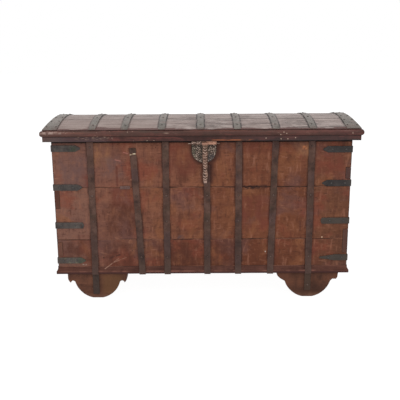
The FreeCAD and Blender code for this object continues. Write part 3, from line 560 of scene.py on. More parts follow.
# Base moulding
# A small hollow moulding with a square fillet below, planed from teak and mitred at the two front
# corners. It is nailed round the foot of the walls and covers the edges of the floor boards.
MOULDING_ARRIS = 0.0009
MOULDING_CELL = 0.02
MOULDING_WEAR = 0.0009
MOULDING_REACH = 0.06
MOULDING_TONES = ((62, 35, 29), (84, 49, 39), (106, 67, 55))
FILLET_LEVEL = 0.012
FOOT_LEVEL = 0.004
for side, along in (("front", 0), ("left", 1), ("right", 1)):
    node = "base_moulding_" + side
    wood = teak(node + "_teak", *MOULDING_TONES, along, (1.1, 5.3 + along, 2.2))
    low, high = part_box(node)
    fillet_highlight = wood.near(2, low.z + FILLET_LEVEL, 0.002, 0.004)
    # painted highlight: a pale broken line along the fillet
    wood.wash((122, 78, 66), wood.noise(14.0), 0.46, 0.66, 1.0, fillet_highlight)
    wood.coat((70, 40, 36), wood.near(2, low.z + FOOT_LEVEL, 0.003, 0.004))
    seam_grime(wood, [high.z])
    if side == "front":
        wood.coat(SCRATCHED, stroke(wood, *long_scratch[0][:2], 0.0004, 0.0026))
    moulding_cut = (MOULDING_ARRIS, drawn(along, MOULDING_CELL, 0.0), MOULDING_WEAR, MOULDING_REACH)
    aged_copy(node, "rim_wood", moulding_cut, wood.done())

# Feet and runners
# Four half-moon boards carry the chest, the left pair with cusped shoulders and the right pair worn
# to steps. A square runner joins each front foot to the foot behind it. All are oiled teak.
FOOT_CUT = (0.003, (0.014, 0.0, 0.014), 0.0016, 0.06)
RUNNER_CUT = (0.002, (0.02, 0.02, 0.02), 0.0014, 0.07)
RUNNER_TONES = ((70, 48, 38), (98, 70, 55), (120, 90, 73))
WORN_HEIGHT = 0.03
foot_tones = (
    ((60, 36, 28), (90, 56, 42), (114, 72, 53)),
    ((55, 33, 24), (84, 51, 37), (104, 64, 46)),
)
for node in ("foot_front_left", "foot_front_right", "foot_back_left", "foot_back_right"):
    low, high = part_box(node)
    shift = (4.0 * (low.x > 0) + 1.3, 2.9 * (low.y > 0) + 0.7, 5.5)
    wood = teak(node + "_teak", *foot_tones[low.x > 0], 0, shift)
    worn = wood.band(wood.z, WORN_HEIGHT, 0.0, 0.0, 0.7)
    wood.coat((128, 92, 74), worn, wood.band(wood.noise(12.0), 0.3, 0.6))
    scratches(wood, (140, 104, 84))
    if node == "foot_front_left":
        wood.coat((112, 76, 48), dab(wood, -0.44, 0.07, 0.03, 0.03, 0.04), 0.6)
    # painted shade: a dark line along the top of each foot, under the moulding
    wood.coat(GRIME_AND_SHADE, wood.near(2, high.z, 0.001, 0.005))
    aged_copy(node, "foot_wood", FOOT_CUT, wood.done())
runner_finish = teak("runner_teak", *RUNNER_TONES, 1, (9.2, 0.4, 3.3), 0.75).done()
for node in ("runner_left", "runner_right"):
    aged_copy(node, "foot_wood", RUNNER_CUT, runner_finish)

# Front straps
# Seven straps of hammered iron run down the front and hold the planks together. The outer two go on
# down the feet, and the rest turn under the chest. A small iron cleat closes a gap in the upper seam.
STRAP_CUT = (0.0008, (0.008, 0.0, 0.01), 0.0008, 0.05)
CLEAT_CUT = (0.0008, (0.006, 0.0, 0.005), 0.0007, 0.02)
moulding_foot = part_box("base_moulding_front")[0].z


def iron(name, dark, middle, light, shift, roughness=0.62, metallic=0.3, specular=0.3):
    """Hand-forged iron under old wax: hammer marks, blotched rust and rubbed places."""
    metal = Finish(name, middle, roughness, metallic=metallic, specular=specular, shift=shift)
    blotches = metal.noise(16.0, detail=6.0, roughness=0.65)
    rust = metal.noise(55.0, detail=5.0, roughness=0.7)
    hammer = metal.noise(75.0, detail=1.0)
    pits = metal.noise(420.0, detail=2.0)
    metal.wash(light, blotches, 0.4, 0.66, 0.9)
    metal.wash(dark, blotches, 0.46, 0.28, 0.9)
    metal.wash((92, 58, 44), rust, 0.56, 0.72, 0.5)
    metal.wash(dark, pits, 0.58, 0.7, 0.5)
    metal.roughen(metal.band(rust, 0.4, 0.7), roughness + 0.18)
    metal.lift(hammer, 0.0012)
    metal.lift(metal.band(pits, 0.7, 0.5), 0.0003)
    return metal


waxed = iron("strap_iron_waxed", (47, 33, 28), (77, 53, 44), (104, 76, 65), (2.0, 3.0, 4.0))
drift = waxed.noise((4.0, 4.0, 9.0))
waxed.wash((86, 64, 63), drift, 0.52, 0.62, 0.4)
waxed.wash((74, 59, 45), drift, 0.46, 0.36, 0.4)
waxed.coat((112, 80, 71), dab(waxed, -0.526, 0.775, 0.04, 0.02, 0.09), 0.6)
# painted shade: the head of the middle strap, beside the hasp below the lock plate, is darkened like the
# shaded wood there
waxed.coat((64, 38, 32), dab(waxed, 0.02, 0.625, 0.03, 0.042, 0.012), 0.75)
waxed.wash((56, 42, 40), waxed.z, 0.37, 0.28, 0.35)
waxed.wash((92, 70, 62), waxed.z, 0.19, 0.15, 0.3)
on_foot = waxed.band(waxed.z, moulding_foot, moulding_foot - 0.008, 0.0, 0.7)
# painted shade: the straps are darkened where they run on down the feet, below the moulding
waxed.coat((54, 43, 37), on_foot)
waxed.coat((76, 55, 42), on_foot, waxed.band(waxed.x, -0.1, 0.1))
strap_finish = waxed.done()
for number in range(1, 8):
    aged_copy(f"front_strap_{number}", "strap_iron", STRAP_CUT, strap_finish)
cleat_iron = iron("cleat_iron_rubbed", (70, 50, 46), (98, 72, 66), (122, 94, 88), (3.0, 5.0, 1.0))
aged_copy("seam_cleat", "strap_iron", CLEAT_CUT, cleat_iron.done())

# Corner straps
# Flat irons bent round each corner, four to a corner, tie the front and the back to the ends. They
# are darker and bluer than the straps. Most end in points, and the lowest at the left is rubbed bare.
CORNER_CUT = (0.0008, (0.01, 0.01, 0.008), 0.0009, 0.04)
VERDIGRIS = (64, 72, 54)
blued = iron("corner_iron_blued", (44, 41, 42), (72, 66, 63), (98, 89, 83), (7.0, 1.0, 2.0))
blued.wash((36, 33, 35), blued.x, -0.2, 0.5, 0.62)
bare = blued.band(blued.noise(45.0, detail=4.0), 0.5, 0.66)
blued.coat((112, 106, 88), dab(blued, -0.61, 0.19, 0.05, 0.012, 0.02), bare)
blued.coat((76, 64, 58), dab(blued, -0.69, 0.19, 0.022, 0.018, 0.02), 0.4)
blued.coat(VERDIGRIS, dab(blued, -0.6, 0.737, 0.008, 0.006, 0.012), 0.6)
blued.coat(VERDIGRIS, dab(blued, -0.575, 0.195, 0.02, 0.012, 0.015), 0.55)
blued.wash((78, 68, 59), blued.z, 0.5, 0.4, 0.6, blued.band(blued.x, 0.3, 0.5))
corner_finish = blued.done()
for side in ("front_left", "front_right", "back_left", "back_right"):
    aged_copy("corner_straps_" + side, "corner_iron", CORNER_CUT, corner_finish)

# Strap hinges at the back
# Three forged hinge leaves are nailed down the back planks. Their barrels turn on iron pins, which
# are headed over at both ends so that they can't walk out.
LEAF_CUT = (0.0006, (0.01, 0.0, 0.012), 0.0006, 0.05)
PIN_CUT = (0.0005, (0.0, 0.0, 0.0), 0.0003, 0.02)
LEAF_TONES = ((48, 42, 40), (74, 62, 56), (98, 84, 76))
PIN_TONES = ((52, 46, 43), (88, 80, 74), (122, 114, 106))
leaf_finish = iron("hinge_iron", *LEAF_TONES, (5.0, 8.0, 1.0)).done()
for number in (1, 2, 3):
    aged_copy(f"hinge_leaf_{number}", "strap_iron", LEAF_CUT, leaf_finish)
pin_finish = iron("pin_iron_rubbed", *PIN_TONES, (1.0, 6.0, 9.0), 0.45, 0.7).done()
aged_copy("hinge_pins", "strap_iron", PIN_CUT, pin_finish)

# Lid rails
# A frame of four teak rails carries the lid. The front and the ends are worked with a rounded nosing
# over a square tier and mitred together, under dark varnish that is scuffed pale along the edges.
RAIL_ARRIS = 0.0016
RAIL_WEAR = 0.0028
RAIL_REACH = 0.045
TIER_TALL = 0.024
NOSE_DROP = 0.013
VARNISH = ((38, 22, 19), (67, 39, 34), (95, 55, 49))
BARE_ORANGE = (142, 82, 52)
BARE_PALE = (186, 158, 140)
lid_rails = (
    ("front", 0, (0.008, 0.0, 0.0)), ("left", 1, (0.0, 0.008, 0.0)),
    ("right", 1, (0.0, 0.008, 0.0)), ("back", 0, (0.02, 0.0, 0.02)),
)
rim_specks = (
    (0.295, 0.039), (0.361, 0.022), (0.364, 0.043), (0.375, 0.011),
    (0.388, 0.017), (0.395, 0.043), (0.43, 0.038), (0.689, 0.017),
)
rail_low, rail_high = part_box("lid_rail_front")
tier_top = rail_low.z + TIER_TALL


def varnished(node, along, shift):
    """Dark varnish over teak, worn through in streaks along the grain and scuffed on the nosing, with
    painted shade along the bottom edge and under the nosing.
    """
    wood = teak(node + "_varnish", *VARNISH, along, shift, 0.5, 0.22)
    streaks = wood.noise(drawn(along, 3.0, 90.0), detail=4.0)
    wood.wash((120, 74, 60), streaks, 0.58, 0.7, 0.6)
    turned = wood.noise(drawn(along, 7.0, 45.0), detail=5.0, roughness=0.65)
    wood.wash((116, 62, 55), turned, 0.52, 0.64, 0.6)
    wood.wash((56, 46, 40), turned, 0.47, 0.34, 0.8)
    # painted shadow: a near-black band along the bottom edge of the rail, over the gap to the body
    wood.coat((26, 14, 12), wood.near(2, rail_low.z, 0.002, 0.003))
    nosing = wood.near(2, rail_high.z - NOSE_DROP, 0.006, 0.006)
    rubbed = wood.noise(drawn(along, 9.0, 40.0), detail=5.0, roughness=0.65)
    wood.wash(BARE_PALE, rubbed, 0.6, 0.72, 0.6, nosing)
    # painted shade: a dark line along the top of the tier, under the nosing
    wood.coat(GRIME_AND_SHADE, wood.near(2, tier_top, 0.001, 0.002))
    chips(wood, BARE_PALE, 90.0, 0.12)
    return wood


def rim_marks(wood):
    """The front rail's own marks: tones along it, a bare streak, a flaked line, a scuff and pale specks."""
    on_nosing = wood.band(wood.z, tier_top, tier_top + 0.004)
    on_tier = wood.band(wood.z, tier_top, tier_top - 0.004)
    wood.wash((128, 94, 85), wood.x, -0.25, -0.6, 0.2, on_nosing)
    # painted highlight: the whole nosing is lifted a little lighter than the tier below it
    wood.coat((112, 78, 66), on_nosing, 0.2)
    wood.wash((70, 42, 42), wood.x, 0.5, 0.65, 0.35, on_nosing)
    wood.wash((58, 50, 51), wood.x, 0.12, 0.3, 0.4, on_tier)
    ragged = wood.noise((30.0, 30.0, 160.0), detail=4.0)
    streak = wood.both(wood.near(0, 0.14, 0.075, 0.03), wood.near(2, rail_low.z + 0.0065, 0.0012, 0.0035))
    wood.coat(BARE_ORANGE, streak, wood.band(ragged, 0.38, 0.54))
    wood.coat((80, 64, 67), on_tier, wood.near(0, -0.56, 0.08, 0.08), 0.55)
    wood.wash((108, 94, 90), wood.x, -0.6, -0.7, 0.4, on_tier)
    flakes = wood.noise((60.0, 60.0, 480.0), detail=2.0)
    flaked = wood.both(wood.near(0, -0.5, 0.05, 0.06), wood.near(2, tier_top - 0.007, 0.004, 0.006))
    wood.wash((44, 32, 31), flakes, 0.48, 0.38, 0.6, flaked)
    wood.wash((150, 124, 106), flakes, 0.53, 0.64, 0.75, flaked)
    specks = wood.noise(70.0)
    scuffed = wood.near(2, rail_high.z - 0.009, 0.003, 0.005)
    scuff = wood.both(wood.band(wood.x, -0.58, -0.7), scuffed)
    wood.coat((172, 148, 138), scuff, wood.band(specks, 0.4, 0.6, 0.1, 0.8))
    for across, drop in rim_specks:
        wood.coat((196, 170, 150), dab(wood, across, rail_high.z - drop, 0.0006, 0.0006, 0.0026))


for side, along, cells in lid_rails:
    node = "lid_rail_" + side
    wood = varnished(node, along, (3.3 + along, 6.0, 8.8))
    if side == "front":
        rim_marks(wood)
    low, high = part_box(node)
    inward = {"front": (1, high.y), "left": (0, high.x), "right": (0, low.x), "back": (1, low.y)}
    inner_face(wood, *inward[side])
    aged_copy(node, "rim_wood", (RAIL_ARRIS, cells, RAIL_WEAR, RAIL_REACH), wood.done())

# Lid staves and end boards
# Four coopered staves make the low dome, nailed down on the rails and on a curved board at each end.
# Sun and dust have bleached them grey-pink, with dark streaks where the grain has opened.
STAVE_CUT = (0.0012, (0.02, 0.016, 0.0), 0.0009, 0.07)
LID_END_CUT = (0.0012, (0.0, 0.02, 0.008), 0.001, 0.05)
STAVE_TONES = ((114, 98, 92), (147, 128, 122), (168, 152, 146))
STAVE_THICK = 0.018
DOME_LIP = 0.003
stave_lines = [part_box(f"lid_stave_{number}")[1].y for number in (1, 2, 3)]
dome_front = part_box("lid_stave_1")[0].y
dome_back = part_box("lid_stave_4")[1].y
dome_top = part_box("lid_stave_2")[1].z
dome_rise = dome_top - rail_high.z - DOME_LIP
dome_radius = ((dome_back - dome_front) ** 2 / 4 + dome_rise ** 2) / (2 * dome_rise)
strap_sides = sorted({round(vertex.co.x, 4) for vertex in frame["nodes"]["lid_straps"].data.vertices})
for number in (1, 2, 3):
    strap_sides += [corner.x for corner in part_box(f"lid_hinge_strap_{number}")]
strap_sides += [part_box("lid_band_left")[1].x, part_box("lid_band_right")[0].x]


def bleached(name, along, shift):
    """Weathered teak: grey-pink, streaked dark along opened grain, dusty between the straps, and darkened
    beside the strap edges with dirt and painted shade.
    """
    wood = teak(name, *STAVE_TONES, along, shift, 0.5, 0.5)
    streaks = wood.noise(drawn(along, 2.2, 75.0), detail=5.0, roughness=0.6)
    wood.wash((92, 74, 70), streaks, 0.54, 0.66, 0.75)
    cracks = wood.noise(drawn(along, 1.6, 48.0))
    line = wood.band(wood.gap(cracks, 0.5), 0.0, 0.006, 1.0, 0.0)
    where = wood.band(wood.noise(5.0), 0.5, 0.6)
    wood.coat((58, 44, 41), line, where)
    wood.lift(wood.both(line, where), -0.0012)
    pale = wood.noise((8.0, 14.0, 14.0), detail=4.0)
    wood.wash((176, 160, 154), pale, 0.55, 0.7, 0.6)
    stains = wood.noise((8.0, 48.0, 48.0), detail=6.0, roughness=0.66)
    wood.wash((76, 61, 55), stains, 0.53, 0.64, 0.65)
    wood.wash((184, 168, 161), stains, 0.48, 0.36, 0.55)
    wood.wash((138, 116, 110), wood.x, -0.2, -0.6, 0.25)
    for seam in stave_lines:
        wood.coat((60, 44, 40), wood.near(1, seam, 0.001, 0.004))
    along_y = wood.calc("SUBTRACT", wood.y, (dome_front + dome_back) / 2)
    along_z = wood.calc("SUBTRACT", wood.z, dome_top - dome_radius)
    reach = wood.span(along_y, along_z)
    below = dome_radius - STAVE_THICK / 2
    wood.wash((118, 90, 72), reach, below, below - 0.003, 0.85)
    smudge = wood.noise(18.0, detail=4.0)
    nearest = 1.0
    for strap_side in strap_sides:
        nearest = wood.calc("MINIMUM", nearest, wood.gap(wood.x, strap_side))
    # painted shade and dirt: the staves are darkened for a few millimetres beside each strap edge
    edge = wood.both(wood.band(nearest, 0.003, 0.009, 1.0, 0.0), wood.band(reach, below - 0.003, below))
    wood.coat((50, 40, 37), edge, wood.band(smudge, 0.3, 0.55, 0.2, 1.0))
    return wood


for number in (1, 2, 3, 4):
    node = f"lid_stave_{number}"
    wood = bleached(node + "_bleached", 0, (1.9 * number, 3.7 * number, 0.6))
    if number == 1:
        ragged = wood.noise((9.0, 40.0, 40.0), detail=4.0)
        lap = wood.calc("ADD", wood.y, wood.band(ragged, 0.3, 0.7, 0.008, -0.012))
        lap = wood.calc("SUBTRACT", lap, wood.both(wood.near(0, -0.45, 0.05, 0.1), 0.014))
        wood.wash((138, 114, 105), wood.x, 0.0, -0.35, 0.4)
        wood.wash((92, 58, 52), lap, rail_low.y + 0.022, rail_low.y + 0.018)
    aged_copy(node, "lid_wood", STAVE_CUT, wood.done())
for side in ("left", "right"):
    node = "lid_end_" + side
    aged_copy(node, "lid_wood", LID_END_CUT, bleached(node + "_bleached", 1, (6.6, 2.1, 4.4)).done())

# Lid irons
# Straps of sheet iron bent over the dome: four plain ones, three that run on into the hinges, and a
# broad band at each end. Handling and weather have left them grey-green and paler than the front.
LID_STRAP_CUT = (0.0007, (0.0, 0.012, 0.0), 0.0007, 0.04)
LID_BAND_CUT = (0.0007, (0.01, 0.012, 0.0), 0.0009, 0.05)
LID_IRON_TONES = ((74, 69, 64), (110, 104, 97), (136, 129, 121))
grey = iron("lid_iron_weathered", *LID_IRON_TONES, (4.4, 9.1, 0.3), 0.5, 0.3, 0.5)
grey.wash((150, 142, 136), grey.x, -0.6, -0.66, 0.3)
cast = grey.noise(24.0, detail=5.0, roughness=0.65)
grey.wash((138, 119, 113), cast, 0.5, 0.64, 0.6)
grey.wash((86, 79, 72), cast, 0.47, 0.35, 0.45)
grey.wash((152, 142, 137), grey.y, dome_front + 0.04, dome_front + 0.14, 0.35)
soiled = grey.band(grey.y, dome_front + 0.05, dome_front + 0.005, 0.0, 0.7)
grey.coat((96, 79, 71), soiled, grey.band(cast, 0.4, 0.6, 0.2, 1.0))
lid_finish = grey.done()
for node in ("lid_straps", "lid_hinge_strap_1", "lid_hinge_strap_2", "lid_hinge_strap_3"):
    aged_copy(node, "strap_iron", LID_STRAP_CUT, lid_finish)
for side in ("left", "right"):
    aged_copy("lid_band_" + side, "strap_iron", LID_BAND_CUT, lid_finish)

# Lock plate
# A shield of sheet iron is nailed over the lock, with a slot for the eye of the hasp. Its face is
# chased with rows of beads and leaves between raised edges, rubbed pale over a blackened ground.
PLATE_CUT = (0.0008, (0.006, 0.0, 0.006), 0.0005, 0.02)
PLATE_TONES = ((38, 33, 30), (58, 49, 43), (86, 72, 63))
PLATE_ROWS = (0.9, 0.76, 0.62, 0.48, 0.34)
ROW_DROP = 0.42
BOWL_STEP = 15
BEAD_STEP = 0.0085
BEAD_SIDES = 8
BEAD_RADIUS = 0.0031
BEAD_HEIGHT = 0.0019
BEAD_STRAY = 0.0012
BEAD_TWIST = 0.3
BEAD_SIZES = (0.6, 1.2)
BEADS_LOST = 0.15
LEAF_RADIUS = 0.8 * BEAD_RADIUS
LEAF_STRETCH = 1.7
LEAF_LEAN = math.radians(38)
HASP_ROOM = 0.014
HEAD_FOOT = 0.35
HEAD_STEPS = ((0.3, 0.42), (0.32, 0.23))
HEAD_SMOOTH = math.radians(60)
hasp_low, hasp_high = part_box("hasp")
hasp_middle = (hasp_low.x + hasp_high.x) / 2
plate_tall = plate_high.z - plate_low.z


def domed_head(name, sides, radius, height):
    """A low faceted dome that stands on the origin, as a punch or a hammer leaves it."""
    bpy.ops.object.select_all(action="DESELECT")
    rise = height * HEAD_FOOT
    middle = (0.0, 0.0, rise / 2)
    bpy.ops.mesh.primitive_cylinder_add(vertices=sides, radius=radius, depth=rise, location=middle)
    head = bpy.context.active_object
    head.name = name
    bpy.ops.object.transform_apply(location=True)
    bpy.context.tool_settings.mesh_select_mode = (False, False, True)
    for parts in (head.data.vertices, head.data.edges):
        parts.foreach_set("select", [False] * len(parts))
    for face in head.data.polygons:
        face.select = face.normal.z > 0.9
    bpy.ops.object.mode_set(mode="EDIT")
    for inward, upward in HEAD_STEPS:
        bpy.ops.mesh.inset(thickness=radius * inward, depth=height * upward)
    bpy.ops.object.mode_set(mode="OBJECT")
    bpy.ops.object.shade_smooth_by_angle(angle=HEAD_SMOOTH)
    return head


def join_to(piece, *others):
    """Makes other pieces part of one."""
    take_up(piece)
    for other in others:
        other.select_set(True)
    bpy.ops.object.join()


def set_copies(model, places, name):
    """Copies a model to each place, joins the copies into one piece and takes the model away."""
    copies = []
    for place in places:
        copy = bpy.data.objects.new(name, model.data.copy())
        copy.data.transform(place)
        bpy.context.collection.objects.link(copy)
        copies.append(copy)
    join_to(*copies)
    bpy.data.objects.remove(model)
    return copies[0]


def plate_row(share, step):
    """Places along the shield's outline, drawn in to a share of its size, with the way each one faces."""
    spring = plate_half - plate_tall
    turns = [math.radians(angle) for angle in range(0, -181, -BOWL_STEP)]
    rounds = [(math.cos(turn), spring + plate_half * math.sin(turn)) for turn in turns]
    bowl = [Vector((plate_half * across, 0.0, up)) for across, up in rounds]
    top_right = Vector((plate_half, 0.0, 0.0))
    top_left = Vector((-plate_half, 0.0, 0.0))
    corners = [point * share for point in (top_right, *bowl, top_left)]
    top = Vector((plate_middle, plate_low.y, plate_high.z - (1 - share) * plate_tall * ROW_DROP))
    spots = []
    spare = step / 2
    for start, end in zip(corners, corners[1:]):
        run = end - start
        while spare < run.length:
            spots.append((top + start + run * (spare / run.length), math.atan2(run.z, run.x)))
            spare += step
        spare -= run.length
    return spots


out_of_plate = Matrix.Rotation(math.radians(90), 4, "X")
beads = []
leaves = []
hand = random.Random(3)
for order, share in enumerate(PLATE_ROWS):
    for spot, heading in plate_row(share, BEAD_STEP):
        sideways = hand.uniform(-BEAD_STRAY, BEAD_STRAY)
        strike = Vector((sideways, 0.0, hand.uniform(-BEAD_STRAY, BEAD_STRAY)))
        heading += hand.uniform(-BEAD_TWIST, BEAD_TWIST)
        seat = Matrix.Translation(spot + strike) @ Matrix.Rotation(-heading, 4, "Y") @ out_of_plate
        seat = seat @ Matrix.Scale(hand.uniform(*BEAD_SIZES), 4)
        if hand.random() < BEADS_LOST or abs(spot.x - hasp_middle) < HASP_ROOM:
            continue
        if order % 2:
            lean = Matrix.Rotation(LEAF_LEAN, 4, "Z") @ Matrix.Scale(LEAF_STRETCH, 4, (1.0, 0.0, 0.0))
            leaves.append(seat @ lean)
        else:
            beads.append(seat)
chased = iron("lock_plate_chased", *PLATE_TONES, (6.0, 2.0, 5.0), 0.5, 0.4)
chased.wash((172, 146, 128), chased.noise(310.0, detail=2.0), 0.55, 0.61, 0.8)
raised = chased.band(chased.y, plate_low.y - 0.0003, plate_low.y - 0.001)
worn_tip = chased.band(chased.noise(60.0, detail=2.0), 0.4, 0.55, 0.15, 1.0)
chased.coat((200, 177, 162), raised, worn_tip)
chased.coat(VERDIGRIS, dab(chased, plate_low.x, 0.72, 0.012, 0.03, 0.012), 0.35)
chased.coat((58, 58, 66), dab(chased, 0.042, 0.69, 0.01, 0.012, 0.014), 0.5)
plate_finish = chased.done()
plate = aged_copy("lock_plate", "corner_iron", PLATE_CUT, plate_finish)
plate_beads = set_copies(domed_head("bead", BEAD_SIDES, BEAD_RADIUS, BEAD_HEIGHT), beads, "plate_beads")
plate_leaves = set_copies(domed_head("leaf", BEAD_SIDES, LEAF_RADIUS, BEAD_HEIGHT), leaves, "plate_leaves")
join_to(plate, plate_beads, plate_leaves)
plate.data.materials.clear()
plate.data.materials.append(plate_finish)

# Hasp hinge and its pin
# A cast brass bar under the rail carries two barrels, and a brass pin runs through them and the
# hasp. The bar is rubbed to a coppery pink on the right, and the ends of the pin are worn pale.
HASP_HINGE_CUT = (0.0006, (0.006, 0.0, 0.0), 0.0005, 0.015)
HASP_PIN_CUT = (0.0007, (0.006, 0.0, 0.0), 0.0004, 0.012)
HASP_HINGE_TONES = ((66, 46, 38), (104, 74, 60), (146, 110, 92))
HASP_PIN_TONES = ((78, 60, 52), (126, 100, 88), (176, 150, 136))


def tarnished(name, dark, middle, light, shift, roughness=0.42):
    """Old brass: brown tarnish in the hollows, rubbed pink and pale where hands have been."""
    metal = Finish(name, middle, roughness, metallic=0.55, specular=0.5, shift=shift)
    cloud = metal.noise(60.0, detail=5.0, roughness=0.65)
    fine = metal.noise(260.0)
    metal.wash(light, cloud, 0.45, 0.65, 0.9)
    metal.wash(dark, cloud, 0.47, 0.3, 0.9)
    metal.wash(dark, fine, 0.56, 0.68, 0.7)
    metal.roughen(metal.band(cloud, 0.6, 0.35), roughness + 0.25)
    metal.lift(cloud, 0.0006)
    metal.lift(fine, 0.0002)
    return metal


brass = tarnished("hasp_hinge_brass", *HASP_HINGE_TONES, (1.0, 2.0, 3.0))
brass.wash((196, 146, 122), brass.x, 0.012, 0.03, 0.75)
unrubbed = brass.band(brass.x, 0.012, 0.004)
speckle = brass.noise(210.0, detail=1.0)
brass.wash((52, 42, 37), speckle, 0.5, 0.4, 0.7, unrubbed)
brass.wash((190, 164, 150), speckle, 0.53, 0.6, 0.9, unrubbed)
aged_copy("hasp_hinge", "brass", HASP_HINGE_CUT, brass.done())
pin_brass = tarnished("hasp_pin_brass", *HASP_PIN_TONES, (4.0, 1.0, 7.0))
pin_brass.wash((92, 68, 57), pin_brass.x, 0.06, 0.07, 0.75)
aged_copy("hasp_pin", "brass", HASP_PIN_CUT, pin_brass.done())

# Hasp
# A cast brass bar hangs from the pin, with an eye behind that enters the lock and a tail that curves
# forward to be lifted by. Its face has raised chevrons, worn pale over dark tarnish.
HASP_CUT = (0.0011, (0.005, 0.0, 0.005), 0.0006, 0.018)
HASP_TONES = ((54, 39, 32), (94, 68, 55), (152, 118, 101))
RIDGE_TONES = ((104, 78, 66), (178, 144, 127), (220, 190, 174))
HASP_HALF_THICK = 0.0025
KNUCKLE_HALF = 0.006
BEND_DROP = 0.075
BEND_RADIUS = 0.376
CHEVRON_STEP = 0.0118
CHEVRON_HALF = 0.0098
CHEVRON_THICK = 0.0034
CHEVRON_DROP = 0.0062
CHEVRON_RISE = 0.0014
CHEVRON_SINK = 0.3
CHEVRON_ARRIS = 0.0005
CHEVRON_SIZES = (0.75, 1.0)
CHEVRON_TILT = 0.16
CHEVRON_STRAY = (0.85, 1.15)
FIRST_CHEVRON = 0.017
LAST_CHEVRON = 0.012
hasp_axis = [Vector(joint["pos_m"]) for joint in frame["joints"] if joint["child"] == "hasp"][0]
hasp_face = hasp_axis.y - HASP_HALF_THICK
bend_level = hasp_axis.z - BEND_DROP
knuckle_foot = hasp_axis.z - KNUCKLE_HALF
bpy.ops.object.select_all(action="DESELECT")
bpy.ops.mesh.primitive_cube_add(size=1.0, scale=(2 * CHEVRON_HALF, 2 * CHEVRON_RISE, CHEVRON_THICK))
chevron = bpy.context.active_object
chevron.name = "chevron"
bpy.ops.object.transform_apply(scale=True)
bpy.ops.object.mode_set(mode="EDIT")
bpy.ops.mesh.bisect(plane_co=(0.0, 0.0, 0.0), plane_no=(1.0, 0.0, 0.0))
bpy.ops.transform.translate(value=(0.0, 0.0, -CHEVRON_DROP))
bpy.ops.mesh.select_all(action="SELECT")
bpy.ops.mesh.bevel(offset=CHEVRON_ARRIS, segments=2, affect="EDGES")
bpy.ops.object.mode_set(mode="OBJECT")
places = []
level = hasp_axis.z - FIRST_CHEVRON
while level > hasp_low.z + LAST_CHEVRON:
    below = max(0.0, bend_level - level)
    lean = math.asin(below / BEND_RADIUS)
    forward = BEND_RADIUS * (1 - math.cos(lean))
    spot = Vector((hasp_axis.x, hasp_face - forward - CHEVRON_RISE * CHEVRON_SINK, level))
    strike = Matrix.Scale(hand.uniform(*CHEVRON_SIZES), 4)
    strike = strike @ Matrix.Rotation(hand.uniform(-CHEVRON_TILT, CHEVRON_TILT), 4, "Y")
    places.append(Matrix.Translation(spot) @ Matrix.Rotation(-lean, 4, "X") @ strike)
    level -= CHEVRON_STEP * hand.uniform(*CHEVRON_STRAY)
bar_tone = tarnished("hasp_brass_tarnished", *HASP_TONES, (2.0, 9.0, 4.0))
# the first of these paints the tail end pale, partly as rubbing and partly as painted highlight
for start, end, share, colour in (
    (hasp_low.z + 0.016, hasp_low.z + 0.008, 0.7, (196, 164, 150)),
    (hasp_high.z - 0.055, hasp_high.z - 0.03, 0.5, (84, 70, 54)),
    (knuckle_foot - 0.004, knuckle_foot, 0.75, (186, 138, 116)),
):
    bar_tone.wash(colour, bar_tone.z, start, end, share)
ridge_tone = tarnished("hasp_brass_rubbed", *RIDGE_TONES, (8.0, 3.0, 1.0))
# painted highlight and rubbing: the chevrons on the lower part, where the hasp bends forward, are painted
# paler
ridge_tone.wash((222, 190, 174), ridge_tone.z, 0.67, 0.61, 0.55)
hasp_bar = aged_copy("hasp", "brass", HASP_CUT, bar_tone.done())
chevrons = set_copies(chevron, places, "hasp_chevrons")
chevrons.data.materials.append(ridge_tone.done())
join_to(hasp_bar, chevrons)

# Nails
# Hand-forged nails with faceted, domed heads hold every iron to the wood. Those on the front are
# rubbed a little brighter than the straps, and those on the lid have gone darker than theirs.
NAIL_SIDES = 9
NAIL_RADIUS = 0.0052
NAIL_HEIGHT = 0.0023
NAIL_TILT = 0.12
NAIL_TURN = 6.3
NAIL_SIZES = (0.82, 1.0)
RUBBED_TONES = ((54, 40, 36), (80, 61, 54), (108, 88, 80))
DARK_TONES = ((52, 48, 45), (86, 80, 75), (116, 110, 104))


def nail_places(node):
    """Where each nail of a node stands: the middle of its foot, turned to face out of the surface."""
    welded_copy(node, "nail_seats")
    bpy.ops.mesh.separate(type="LOOSE")
    bpy.ops.object.mode_set(mode="OBJECT")
    places = []
    for seat in list(bpy.context.selected_objects):
        foot = max(seat.data.polygons, key=lambda face: face.area)
        turn = (-foot.normal).to_track_quat("Z", "Y").to_matrix().to_4x4()
        places.append(Matrix.Translation(foot.center) @ turn)
        bpy.data.objects.remove(seat)
    return places


bright = iron("nail_iron_rubbed", *RUBBED_TONES, (5.5, 0.5, 3.0), 0.5, 0.4)
bright.wash((80, 76, 74), bright.calc("ABSOLUTE", bright.x), 0.54, 0.56)
dull = iron("nail_iron_dark", *DARK_TONES, (0.5, 6.5, 2.0), 0.5, 0.4)
dice = random.Random(7)
for node, finish in (("chest_nails", bright.done()), ("lid_nails", dull.done())):
    places = []
    for place in nail_places(node):
        strike = Matrix.Rotation(dice.uniform(-NAIL_TILT, NAIL_TILT), 4, "X")
        strike = strike @ Matrix.Rotation(dice.uniform(0, NAIL_TURN), 4, "Z")
        places.append(place @ strike @ Matrix.Scale(dice.uniform(*NAIL_SIZES), 4))
    nails = set_copies(domed_head("nail", NAIL_SIDES, NAIL_RADIUS, NAIL_HEIGHT), places, node + "_forged")
    nails.data.materials.append(finish)
    fix(nails, frame["nodes"][node]["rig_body"], "strap_iron", node)

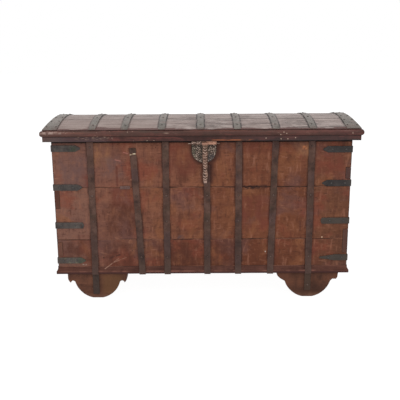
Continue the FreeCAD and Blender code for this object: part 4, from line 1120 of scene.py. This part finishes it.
# Studio
# A plain pale floor and an even white surround, with a broad soft light overhead and in front.
FLOOR_HALF = 40.0
FLOOR_GAP = 0.0005
FLOOR_GLOW = 0.965
FLOOR_GREY = (103.669, 103.669, 103.669)
FLOOR_PALE = (112.153, 112.153, 112.153)
WHITE = (1.0, 1.0, 1.0, 1.0)
LIGHT_PLACE = Vector((0.4, -2.2, 3.2))
LIGHT_AIM = Vector((0.0, 0.0, 0.5))
LIGHT_SIZE = 2.5
LIGHT_POWER = 30.0
bpy.ops.object.select_all(action="DESELECT")
floor_place = (0.0, 0.0, cad_box[0].z - FLOOR_GAP)
bpy.ops.mesh.primitive_plane_add(size=2 * FLOOR_HALF, location=floor_place)
studio_floor = bpy.context.active_object
studio_floor.name = "studio_floor"
pale = Finish("studio_floor_pale", FLOOR_GREY, 0.9, specular=0.0)
pale.wash(FLOOR_PALE, pale.noise(1.5, detail=4.0), 0.3, 0.7)
pale.feed(pale.shader, "Emission Color", WHITE)
pale.feed(pale.shader, "Emission Strength", FLOOR_GLOW)
studio_floor.data.materials.append(pale.done())
surround = bpy.data.worlds.new("studio_surround")
surround.use_nodes = True
background = surround.node_tree.nodes["Background"]
background.inputs["Color"].default_value = WHITE
background.inputs["Strength"].default_value = 1.0
bpy.context.scene.world = surround
bpy.context.scene.view_settings.view_transform = "Standard"
bpy.ops.object.light_add(type="AREA", location=LIGHT_PLACE)
soft_light = bpy.context.active_object
soft_light.name = "soft_light"
soft_light.data.size = LIGHT_SIZE
soft_light.data.energy = LIGHT_POWER
soft_light.rotation_euler = (LIGHT_AIM - LIGHT_PLACE).to_track_quat("-Z", "Y").to_euler()

# Camera
# It stands in front of the chest at the height of a person's chest and looks a little down.
FOCAL_PIXELS = 615.4
FRAME_PIXELS = 400
SENSOR_WIDTH = 36.0
CAMERA_PLACE = Vector((-0.0026, -3.0764, 1.1554))
CAMERA_TURN = math.radians(0.143)
CAMERA_DIP = math.radians(13.18)
CAMERA_ROLL = math.radians(-0.382)
bpy.ops.object.camera_add(location=CAMERA_PLACE)
camera = bpy.context.active_object
camera.name = "studio_camera"
camera.data.sensor_width = SENSOR_WIDTH
camera.data.lens = FOCAL_PIXELS / FRAME_PIXELS * SENSOR_WIDTH
level = Matrix.Rotation(math.radians(90) - CAMERA_DIP, 4, "X")
turned = Matrix.Rotation(CAMERA_TURN, 4, "Z") @ level @ Matrix.Rotation(CAMERA_ROLL, 4, "Z")
camera.matrix_world = Matrix.Translation(CAMERA_PLACE) @ turned
bpy.context.scene.camera = camera
